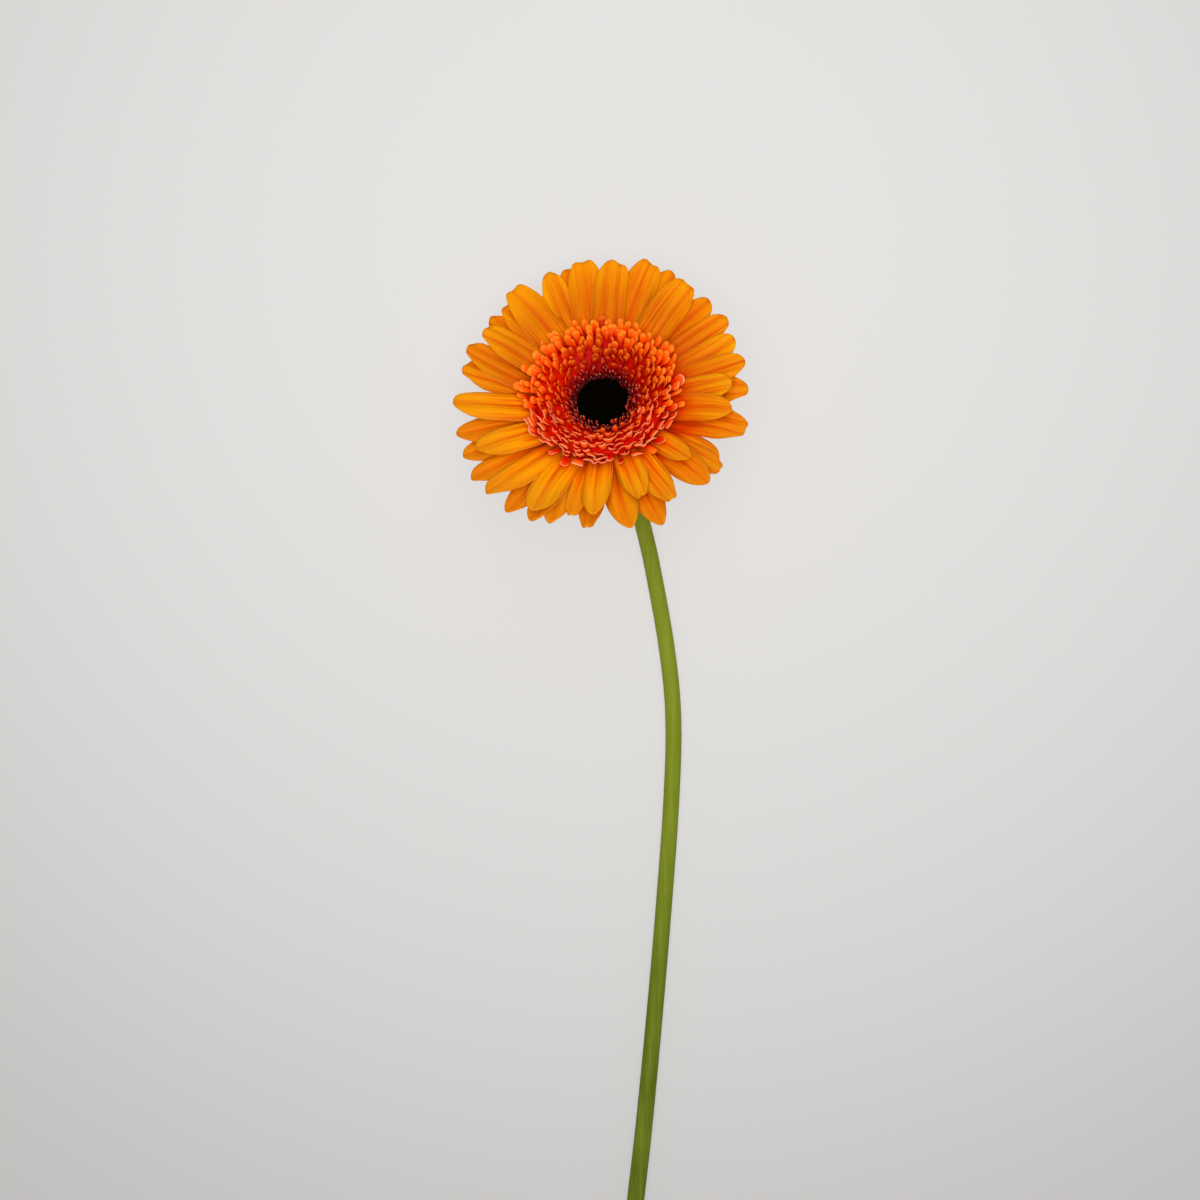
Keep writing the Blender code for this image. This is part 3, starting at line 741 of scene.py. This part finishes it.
def head_place(bearing, reach, height):
    """Bearing and radius on the head of a point at this height there, given as seen from above."""
    right, up, axis = (HEAD.to_3x3().col[k].xy for k in range(3))
    seen = Vector((math.sin(bearing), math.cos(bearing))) * reach - axis * height
    place = Matrix((right, up)).transposed().inverted() @ seen
    return math.atan2(*place), place.length


def whorl_florets():
    """Bearing, root height, tip, rise, width, sweep and roll of each floret of the two whorls."""
    draw = random.Random(WHORL_SEED)
    florets = []
    for tips, root, lift, higher in WHORLS:
        for k, (degrees, reach, width) in enumerate(tips):
            seen = math.radians(degrees)
            top = math.cos(seen)
            height = lift - higher * top + LAYER_STEP * (-1) ** k + draw.gauss(0, HEIGHT_SCATTER)
            bearing, radius = head_place(seen, reach / 1000, height)
            rise = RAY_RISE + RAY_CUPPING * min(0.0, top) + draw.uniform(-RISE_SCATTER, RISE_SCATTER)
            sweep = draw.gauss(0, SWEEP_SCATTER)
            roll = ROLL + draw.gauss(0, ROLL_SCATTER)
            florets.append((bearing - sweep, root, (radius, height), rise, width / 1000, sweep, roll))
    return florets


def lowness(bearing):
    """From 0 for a floret at the top of the bloom to 1 for one at the bottom, over the stem."""
    return smooth_step(0.5 - 0.7 * math.cos(bearing))


def ray_habit(draw, bearing, width):
    """How a floret differs: number of ridges, edge curl, tip curl, notch depth and place, tip taper,
    edge wave and its phase. Tips at the bottom of the bloom curl down, and broad tips are blunt."""
    broad = smooth_step((width - 0.0108) / 0.0022)
    low = lowness(bearing)
    return (
        draw.choice((2, 2, 3)),
        draw.uniform(-0.02, 0.14),
        draw.uniform(-0.0004, 0.0006) - draw.uniform(0.0010, 0.0026) * low,
        draw.uniform(0.004, 0.012) + BROAD_NOTCH * broad,
        draw.uniform(-0.25, 0.25),
        draw.uniform(0.52, 0.68) - 0.16 * broad + 0.12 * low,
        draw.uniform(0.01, 0.04),
        draw.uniform(0.0, math.tau),
    )


STILL = (2, 0.0, 0.0, 0.0, 0.0, 0.50, 0.0, 0.0)


def ray_surface(floret, habit):
    """The middle sheet of a ray floret, as a function of the places along and across it."""
    bearing, root, tip, rise, width, sweep, roll = floret
    ridges, curl, tip_curl, notch, notch_place, taper, wave, phase = habit

    def surface_at(along, across):
        q = math.sin(math.pi * (across - 0.5))
        end = SHOULDER + (1 - SHOULDER) * max(0.0, 1 - q * q) ** taper
        end += notch * (0.3 - math.cos(math.tau * (q - notch_place))) / 2
        s = along * end
        middle, side, normal = floret_frame(bearing, (RAY_ROOT, root), tip, rise, sweep, roll, s)
        half = width / 2 * (CLAW_WIDTH + (1 - CLAW_WIDTH) * smooth_step(s / CLAW_END))
        spread = smooth_step(s / 0.35)
        lift = RIDGE_HEIGHT * math.sin(ridges * math.pi * (q + 1) / 2) ** 2 - EDGE_DROOP * q**4
        lift += curl * q * q * spread
        lift += FINE_RIDGE_HEIGHT * math.cos(FINE_RIDGES * math.pi * q) * spread
        lift += wave * q * q * math.sin(7 * s + phase + 2 * q) * spread
        rolled = tip_curl * smooth_step((s - 0.6) / 0.4) ** 2
        return middle + side * q * half + normal * (lift * half + rolled), normal

    return surface_at


def ray_thickness(along, across):
    q = 2 * across - 1
    return RAY_THICK * (1 - 0.5 * q * q) * (1 - 0.35 * along**6)


def back_floret(bearing, tip_height):
    """A ray floret under the whorls; the further down it reaches, the more it arches."""
    rise = BACK_RISE[0] + BACK_RISE[1] * tip_height
    return bearing, BACK_ROOT, (BACK_SPREAD, tip_height), rise, BACK_WIDTH, 0.0, 0.0


def resting_height(bearing):
    """Tip height at which a back floret just touches the surface, by halving."""
    high, low = 0.0, REST_LOWEST
    for _ in range(16):
        height = (high + low) / 2
        surface_at = ray_surface(back_floret(bearing, height), STILL)
        places = [(i / 12, j / 8) for i in range(13) for j in range(9)]
        sheet = [(surface_at(*place), ray_thickness(*place)) for place in places]
        if min((HEAD @ (point - normal * thick / 2)).z for (point, normal), thick in sheet) > 0:
            high = height
        else:
            low = height
    return high


def back_florets():
    florets = []
    for k in range(BACK_COUNT):
        bearing = BACK_START + math.tau * k / BACK_COUNT
        height = BACK_TIP - BACK_LEAN * math.cos(bearing)
        if math.cos(bearing) > math.cos(REST_ARC):
            height = resting_height(bearing)
        florets.append(back_floret(bearing, height))
    return florets


def joined(name, meshes, notes):
    """One mesh of several, with values stored on the points of each: a list of them for each name."""
    bm = bmesh.new()
    layers = {note: bm.verts.layers.float.new(note) for note in notes}
    for k, mesh in enumerate(meshes):
        known = len(bm.verts)
        bm.from_mesh(mesh)
        bm.verts.ensure_lookup_table()
        for vert in bm.verts[known:]:
            for note, values in notes.items():
                vert[layers[note]] = values[k]
        bpy.data.meshes.remove(mesh)
    whole = bpy.data.meshes.new(name)
    bm.to_mesh(whole)
    bm.free()
    whole.shade_smooth()
    return whole


ray_paint, tree, shader = finish_of(
    "ray_petal", 0.5, Specular_IOR_Level=0.03, Subsurface_Weight=0.3, Subsurface_Scale=0.0015)
along, across = note_of(tree, "along"), note_of(tree, "across")
under, tone = note_of(tree, "under"), note_of(tree, "tone")
ridges, drawn = note_of(tree, "ridges"), note_of(tree, "drawn")
painted_light_shift, tip_shade, shaded = note_of(tree, "painted_light_shift"), note_of(tree, "tip_shade"), note_of(tree, "shaded")
sideways = ((across - 0.5) * math.pi).sine()
groove = (((sideways + 1) * ridges * math.pi).cosine() * 0.5 + 0.5) ** 9
strip = across.also("ShaderNodeCombineXYZ", sockets={"X": across * 20, "Y": along * 1.6, "Z": tone * 40})
vein = strip.also("ShaderNodeTexNoise", sockets={"Vector": strip, "Scale": 1.0, "Detail": 3.0})
cloud = strip.also("ShaderNodeCombineXYZ", sockets={"X": across * 2.4, "Y": along * 3.2, "Z": tone * 30})
cloud = cloud.also("ShaderNodeTexNoise", sockets={"Vector": cloud, "Scale": 1.0, "Detail": 1.0})

# From the red throat to the golden tip; where the turn comes is painted light and shade, sooner
# low on the bloom and later on its right and in florets below the first whorl.
ramp_with_painted_light = along + painted_light_shift * (1 - along) * 1.6
gold = ramp_with_painted_light.step(0.2, 0.52).tint(RAY_BASE_AND_SHADE, RAY_THROAT)
gold = ramp_with_painted_light.step(0.52, 0.98).tint(gold, RAY_BLADE)
gold = (ramp_with_painted_light.step(0.72, 1.1) * (0.5 + cloud * 0.8)).tint(gold, RAY_TIP_AND_HIGHLIGHT)

# Painted highlights on the golden crests, red veins with painted shade in the grooves between them,
# and painted shade in the red creases along both edges.
crest_highlight = (1 - groove) * vein.step(0.7, 0.35) * ramp_with_painted_light.step(0.15, 0.7)
gold = (crest_highlight * drawn * 0.8).tint(gold, RAY_TIP_AND_HIGHLIGHT)
veins_and_groove_shade = groove * (0.8 - along * 0.4) + vein.step(0.46, 0.68) * (0.6 - along * 0.3)
gold = (veins_and_groove_shade * drawn * 1.15).tint(gold, RAY_VEIN_AND_SHADE)
# Redder by tone, which is random, and higher in florets below the first whorl as painted shade.
gold = (tone * 0.36).tint(gold, RAY_VEIN_AND_SHADE)
side = (across * 2 - 1).maths("ABSOLUTE")
crease_shade = (side.step(0.62, 1.0) + across.step(0.6, 1.0) * 0.4) * (1 - along.step(0.5, 0.95))
gold = (crease_shade * drawn * 0.85).tint(gold, RAY_BASE_AND_SHADE)

# Painted shade: red beside the ring, duller tips low on the bloom and a duller blade high on it;
# and a painted highlight along the left edge.
gold = ((1 - along.step(0.36, 0.52)) * 0.58).tint(gold, RAY_BASE_AND_SHADE)
gold = (along.step(0.62, 1.0) * tip_shade * 0.7).tint(gold, RAY_TIP_SHADE)
gold = (along.step(0.4, 0.6) * (1 - along.step(0.65, 1.0) * 0.45) * shaded * 0.6).tint(gold, RAY_SHADE)
gold = ((1 - across).step(0.86, 1.0) * along.step(0.1, 0.5) * 0.5).tint(gold, RAY_EDGE_HIGHLIGHT)
Wire.fill(shader["Base Color"], (under * 0.55).tint(gold, RAY_BACK))
Wire.fill(shader["Roughness"], 0.44 + cloud * 0.14)
Wire.fill(shader["Normal"], bumped(vein, 0.35))

# The notes of a floret: its tone, its number of ridges and how strongly its lines are drawn; and as
# painted light and shade, how early it turns to gold and how dull its tip is low on the bloom and its
# blade high on it.
draw = random.Random(HABIT_SEED)
meshes = [turned_mesh("plate", RAY_PLATE, PLATE_SIDES)]
notes = {"tone": [0.5], "ridges": [2.0], "drawn": [0.5], "painted_light_shift": [0.0], "tip_shade": [0.0], "shaded": [0.0]}
for k, floret in enumerate(whorl_florets() + back_florets()):
    below = k >= len(RAYS_ABOVE)
    behind = k >= len(RAYS_ABOVE) + len(RAYS_BELOW)
    bearing, width = floret[0], floret[4]
    low, right = lowness(bearing), math.sin(bearing)
    habit = STILL if behind else ray_habit(draw, bearing, width)
    meshes.append(blade_mesh("ray", RAY_ROWS, RAY_COLUMNS, ray_surface(floret, habit), ray_thickness))
    # Florets below the first whorl get a higher tone: painted shade that reddens them under the whorl
    # above.
    notes["tone"].append(draw.uniform(0, 0.5) + 0.5 * below)
    notes["ridges"].append(float(habit[0]))
    notes["drawn"].append(draw.uniform(0.5, 0.7) + 0.35 * abs(right))
    # Painted shade: redder on the right of the bloom and in florets below the first whorl; golder low on
    # it.
    right_side_shade = 0.12 * right + (0.46 * low + 0.2 * right**3) * max(0.0, right)
    notes["painted_light_shift"].append(0.05 + 0.19 * low - right_side_shade - 0.09 * below)
    notes["tip_shade"].append(low * (0.8 - 0.05 * right))
    notes["shaded"].append(smooth_step(0.6 + 0.8 * math.cos(bearing)) * (0.85 - 0.05 * right))
petals = joined("ray_petals", meshes, notes)
petals.materials.append(ray_paint)
petals.transform(HEAD)
rays = bpy.data.objects.new("ray_petals", petals)
bpy.context.scene.collection.objects.link(rays)
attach(rays, "root")
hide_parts("ray_florets")


# The ring of trans florets: some hundreds of short red straps with round tips, painted pale at the
# tips and edges as highlights, which grew on a mound of their own bases and lean out towards its rim.
# Low on the bloom they are cupped and show end on, and four longer ones lie out at the rim.
TRANS_MOUND = (
    (0.0112, -0.0023),
    (0.0119, -0.0023),
    (0.0144, 0.0007),
    (0.0185, 0.0026),
    (0.0230, 0.0041),
    (0.0205, 0.0048),
    (0.0168, 0.0037),
    (0.0134, 0.0012),
    (0.0112, -0.0007),
)
MOUND_SIDES = 96
TRANS_STRAPS = (  # length, half-width, thickness, rows, columns, share of width at foot, cup, bend
    (0.0058, 0.00102, 0.0009, 6, 4, 0.55, 0.1, 0.0003),
    (0.0054, 0.00126, 0.0008, 6, 4, 0.45, 0.2, 0.0008),
    (0.0060, 0.00090, 0.0008, 6, 4, 0.60, 0.1, -0.0010),
)
TRANS_LOW_STRAPS = (
    (0.0056, 0.00165, 0.0004, 7, 6, 0.50, -0.50, -0.0008),
    (0.0058, 0.00130, 0.0004, 7, 6, 0.50, -0.80, -0.0014),
    (0.0053, 0.00170, 0.0004, 7, 6, 0.55, 0.30, 0.0000),
)
TRANS_PADDLE = (0.0080, 0.00150, 0.0007, 6, 4, 0.45, 0.35, 0.0008)
LOW_BORDER = (0.38, 0.72)  # how low on the bloom a low floret has to be, drawn for each
SHADE_REACH = 0.016
TRANS_DEEP = srgb(226, 26, 0)
TRANS_INNER = srgb(214, 16, 0)
TRANS_RED = srgb(252, 92, 8)
TRANS_SHADE = srgb(146, 0, 0)
TRANS_TIP_HIGHLIGHT = srgb(254, 142, 34)
TRANS_FACE = srgb(254, 112, 34)
TRANS_CURL_HIGHLIGHT = srgb(255, 176, 128)
GOLDEN_ANGLE = math.radians(137.508)


def finger_mesh(length, half, thick, rows, columns, flare, cup, bend):
    """A small floret that stands up along Z and widens from flare, its share of width at the foot,
    to a round tip. Its middle bulges towards the eye by cup, and its tip goes out by bend."""

    def surface_at(along, across):
        q = math.sin(math.pi * (across - 0.5))
        end = 0.80 + 0.20 * max(0.0, 1 - q * q) ** 0.5
        s = along * end
        wide = half * (flare + (1 - flare) * smooth_step(s / 0.8))
        out = bend * s**3 - cup * half * (1 - q * q) * smooth_step(s * 1.5)
        normal = Vector((0, -1, 3 * bend * s * s / length)).normalized()
        return Vector((q * wide, out, s * length)), normal

    def thick_at(along, across):
        return thick * (1 - 0.5 * along)

    return blade_mesh("finger", rows, columns, surface_at, thick_at)


tree, given = new_tree("golden_angle_head", {
    "Shapes": "Collection", "Kinds": "Int", "Count": "Int", "Inner Radius": "Float",
    "Outer Radius": "Float", "Crest Radius": "Float", "Crest Height": "Float", "Fall": "Float",
    "Inner Lean": "Float", "Outer Lean": "Float", "Low Lean": "Float", "Low From": "Float",
    "Lean Scatter": "Float", "Twist": "Float", "Inner Size": "Float", "Outer Size": "Float",
    "Size Scatter": "Float", "Place Scatter": "Float", "Seed": "Int", "Material": "Material",
})
shapes = Wire.made(tree, "GeometryNodeCollectionInfo", sockets={
    "Collection": given["Shapes"], "Separate Children": True, "Reset Children": True})
index = Wire.made(tree, "GeometryNodeInputIndex")
seed = given["Seed"]
share = (index + 0.5) / given["Count"]
inner, outer = given["Inner Radius"], given["Outer Radius"]
radius = (inner**2 + share * (outer**2 - inner**2)) ** 0.5
radius = radius + draw_between(index, -1.0, 1.0, seed) * given["Place Scatter"]
stray = draw_between(index, -1.0, 1.0, seed + 1) * given["Place Scatter"] / radius
bearing = index * GOLDEN_ANGLE + stray
height = given["Crest Height"] - given["Fall"] * (given["Crest Radius"] - radius) ** 2
place = radius.also("ShaderNodeCombineXYZ", sockets={
    "X": radius * bearing.sine(), "Y": radius * bearing.cosine(), "Z": height})
spots = Wire.made(tree, "GeometryNodeMeshLine", {"mode": "OFFSET"}, {
    "Count": given["Count"], "Offset": (0.0, 0.0, 0.0)})
spots = noted(spots, "outward", share)
spots = noted(spots, "tone", draw_between(index, 0.0, 1.0, seed + 2))
spots = spots.also("GeometryNodeSetPosition", sockets={"Geometry": spots, "Position": place})
lean = given["Inner Lean"] + (given["Outer Lean"] - given["Inner Lean"]) * share
lean = lean - (1 - bearing.cosine()) * 0.5 * given["Low Lean"] * share * (1.2 - share)
lean = lean + draw_between(index, -1.0, 1.0, seed + 3) * given["Lean Scatter"]
tilt = draw_between(index, -1.0, 1.0, seed + 4) * given["Lean Scatter"]
around = rotation(lean, X=0 - lean, Y=tilt, Z=0 - bearing)
low = (0.5 - bearing.cosine() * 0.5).above(draw_between(index, *LOW_BORDER, seed + 8))
low = low * share.above(given["Low From"])
twist = draw_between(index, -1.0, 1.0, seed + 5) * given["Twist"] * (1 - low * 0.5)
around = around.also("FunctionNodeRotateRotation", {"rotation_space": "LOCAL"}, {
    "Rotation": around, "Rotate By": rotation(twist, Z=twist)})
size = given["Inner Size"] + (given["Outer Size"] - given["Inner Size"]) * share
size = size * (draw_between(index, -1.0, 1.0, seed + 6) * given["Size Scatter"] + 1)
spots = noted(spots, "low", low)
kinds = draw_between(index, 0, given["Kinds"] - 1, seed + 7, "INT") + low * given["Kinds"]
crowd = spots.also("GeometryNodeInstanceOnPoints", sockets={
    "Points": spots, "Instance": shapes, "Pick Instance": True, "Instance Index": kinds,
    "Rotation": around, "Scale": size})
close_tree(merged(given["Geometry"], crowd), given["Material"])
head_tree = tree


def crowded(name, core, *crowds):
    """A core with crowds of florets set out over it by the golden angle, in its place on the head.
    A crowd is a list of shapes, each of which gets a letter that sorts it, and its sizes. Low
    florets take the shapes after the first Kinds, if there are any."""
    steps, boxes = [], []
    for shapes, sizes in crowds:
        boxes.append(bpy.data.collections.new(name + "_shapes"))
        for letter, mesh in zip("abcdef", shapes):
            boxes[-1].objects.link(bpy.data.objects.new(f"{name}_{len(boxes)}_{letter}", mesh))
        steps.append((head_tree, {"Shapes": boxes[-1], **sizes}))
    piece = grown(name, core, steps)
    piece.data.transform(HEAD)
    for box in boxes:
        for shape in list(box.objects):
            bpy.data.objects.remove(shape)
        bpy.data.collections.remove(box)
    return piece


trans_paint, tree, shader = finish_of(
    "trans_floret", 0.4, Specular_IOR_Level=0.04, Subsurface_Weight=0.12, Subsurface_Scale=0.0008)
along, across = note_of(tree, "along"), note_of(tree, "across")
outward, tone, low = note_of(tree, "outward"), note_of(tree, "tone"), note_of(tree, "low")
# Deep at each strap's foot, and further up on low ones, where it is partly painted shade between them.
red = (along - low * 0.2).step(0.2, 0.7).tint(TRANS_DEEP, TRANS_RED)
red = ((1 - outward).step(0.45, 1.2)).tint(red, TRANS_INNER)
# Painted shade on the inner florets of the ring's upper side, which lie in the ring's own shadow.
x, y = place_of(tree)
upper = ((x - EYE_PLACE.x) * 0.6 + (y - EYE_PLACE.y)) / SHADE_REACH
red = (upper.step(-0.1, 1.0) * (1 - outward).step(0.2, 0.9) * 0.45).tint(red, TRANS_SHADE)
red = (along.step(0.3, 0.8) * low * tone).tint(red, TRANS_FACE)
# Painted highlights: pale tips, and pale edges near the tip, pinker on the low curled florets.
edge_highlight = (across * 2 - 1).maths("ABSOLUTE").step(0.8, 1.0) * along.step(0.5, 0.9)
pale_highlight = (along - low * 0.14).step(0.70, 0.86 + low * 0.05).maths("MAXIMUM", edge_highlight * 0.8)
pale_highlight = pale_highlight * (0.4 + tone * 0.55 + low * 0.1) * (0.4 + outward * 0.6)
red = pale_highlight.tint(red, low.tint(TRANS_TIP_HIGHLIGHT, TRANS_CURL_HIGHLIGHT))
Wire.fill(shader["Base Color"], red)

straps = [finger_mesh(*sizes) for sizes in TRANS_STRAPS + TRANS_LOW_STRAPS]
strap_sizes = {
    "Kinds": len(TRANS_STRAPS), "Count": 370, "Inner Radius": 0.0122, "Outer Radius": 0.0242,
    "Crest Radius": 0.0205, "Crest Height": 0.0043, "Fall": 50.0, "Inner Lean": math.radians(12),
    "Outer Lean": math.radians(58), "Low Lean": 0.80, "Low From": 0.2, "Lean Scatter": 0.24,
    "Twist": 0.55, "Inner Size": 0.70, "Outer Size": 1.04, "Size Scatter": 0.2,
    "Place Scatter": 0.0007, "Seed": 21, "Material": trans_paint}
paddle_sizes = {
    "Kinds": 1, "Count": 4, "Inner Radius": 0.0226, "Outer Radius": 0.0232,
    "Crest Radius": 0.0205, "Crest Height": 0.0040, "Fall": 50.0, "Inner Lean": math.radians(62),
    "Outer Lean": math.radians(70), "Low Lean": 0.0, "Low From": 1.0, "Lean Scatter": 0.1,
    "Twist": 0.3, "Inner Size": 0.9, "Outer Size": 1.05, "Size Scatter": 0.1,
    "Place Scatter": 0.0008, "Seed": 62, "Material": trans_paint}
mound = turned_mesh("mound", TRANS_MOUND, MOUND_SIDES)
paddle = finger_mesh(*TRANS_PADDLE)
trans = crowded("trans_ring", mound, (straps, strap_sizes), ([paddle], paddle_sizes))
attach(trans, "root")
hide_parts("trans_florets")


# The fringe: thin maroon florets and bristles with pinkish tips, in a narrow band round the eye.
# Each grew from the head between the ring and the eye.
FRINGE_COLLAR = ((0.0091, -0.0025), (0.0112, -0.0025), (0.0108, -0.0010), (0.0093, -0.0014))
COLLAR_SIDES = 72
FRINGE_SLIVERS = (  # the same sizes as for the straps of the ring
    (0.0042, 0.00034, 0.0003, 5, 3, 0.7, 0.3, 0.0003),
    (0.0036, 0.00044, 0.0003, 5, 3, 0.5, 0.5, 0.0005),
)
FRINGE_DEEP = srgb(84, 2, 2)
FRINGE_RED = srgb(188, 16, 6)
FRINGE_TIP = srgb(226, 116, 98)
FRINGE_LOW_LIT = srgb(232, 72, 46)

fringe_paint, tree, shader = finish_of("fringe_floret", 0.55, Specular_IOR_Level=0.15)
along, tone = note_of(tree, "along"), note_of(tree, "tone")
outward, low = note_of(tree, "outward"), note_of(tree, "low")
maroon = (along.step(0.1, 0.8) * (0.3 + outward * 0.7)).tint(FRINGE_DEEP, FRINGE_RED)
# Painted light: brighter low on the bloom, where light from above falls on the fringe's inner side.
maroon = (along.step(0.1, 0.8) * low).tint(maroon, FRINGE_LOW_LIT)
Wire.fill(shader["Base Color"], (along.step(0.80, 0.95) * tone.step(0.2, 0.9)).tint(maroon, FRINGE_TIP))

slivers = [finger_mesh(*sizes) for sizes in FRINGE_SLIVERS]
collar = turned_mesh("collar", FRINGE_COLLAR, COLLAR_SIDES)
fringe = crowded("fringe_band", collar, (slivers, {
    "Kinds": 2, "Count": 250, "Inner Radius": 0.0091, "Outer Radius": 0.0124,
    "Crest Radius": 0.0124, "Crest Height": -0.0008, "Fall": 60.0, "Inner Lean": math.radians(-10),
    "Outer Lean": math.radians(20), "Lean Scatter": 0.2, "Twist": 1.5, "Inner Size": 0.74,
    "Outer Size": 1.05, "Size Scatter": 0.22, "Place Scatter": 0.0003, "Seed": 33,
    "Material": fringe_paint}))
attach(fringe, "root")
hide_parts("fringe_florets")


# The eye: a low dome of closed disc florets, nearly black, each a small pointed bud. They grew
# packed together by the golden angle.
EYE_RADIUS = 0.0089
EYE_BOTTOM = -0.0025
BUD_FOOT = -0.00088
BUD_DEPTH = 0.0006  # how deep the buds stand in the dome
BUDS = (  # length, half-width, sides
    (0.0021, 0.00052, 7),
    (0.0018, 0.00058, 7),
)
EYE_SAG = 0.0011
DOME_SIDES = 64
EYE_BLACK = srgb(5, 4, 1)
EYE_BROWN = srgb(20, 12, 6)

eye_paint, tree, shader = finish_of("eye_bud", 0.9, Specular_IOR_Level=0.0)
along, tone = note_of(tree, "along"), note_of(tree, "tone")
Wire.fill(shader["Base Color"], (along.step(0.55, 1.0) * tone * 0.8).tint(EYE_BLACK, EYE_BROWN))


def bud_mesh(length, half, sides):
    """A closed bud that stands up along Z, round in the middle and pointed at its tip."""
    profile = [(0, 0.0), (0.7, 0.05), (1.0, 0.4), (0.8, 0.7), (0.4, 0.92), (0, 1.0)]
    mesh = turned_mesh("bud", [(radius * half, height * length) for radius, height in profile], sides)
    note = mesh.attributes.new("along", "FLOAT", "POINT")
    note.data.foreach_set("value", [vert.co.z / length for vert in mesh.vertices])
    return mesh


def eye_point(radius):
    """Point of the eye's dome at this radius; the dome lies lower towards its rim."""
    return radius, BUD_FOOT - EYE_SAG * (radius / EYE_RADIUS) ** 2


dome = [eye_point(EYE_RADIUS * share) for share in (1.0, 0.85, 0.7, 0.5, 0.25)]
dome = [(0, EYE_BOTTOM), (EYE_RADIUS, EYE_BOTTOM), *dome, eye_point(0)]
buds = [bud_mesh(*sizes) for sizes in BUDS]
eye = crowded("eye_dome", turned_mesh("dome", dome, DOME_SIDES), (buds, {
    "Kinds": 2, "Count": 210, "Inner Radius": 0.0, "Outer Radius": 0.0085, "Crest Radius": 0.0,
    "Crest Height": BUD_FOOT - BUD_DEPTH, "Fall": EYE_SAG / EYE_RADIUS**2, "Inner Lean": 0.0,
    "Outer Lean": math.radians(24), "Lean Scatter": 0.16, "Twist": 1.0, "Inner Size": 0.85,
    "Outer Size": 1.15, "Size Scatter": 0.25, "Place Scatter": 0.0003, "Seed": 8,
    "Material": eye_paint}))
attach(eye, "root")
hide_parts("disc_florets")
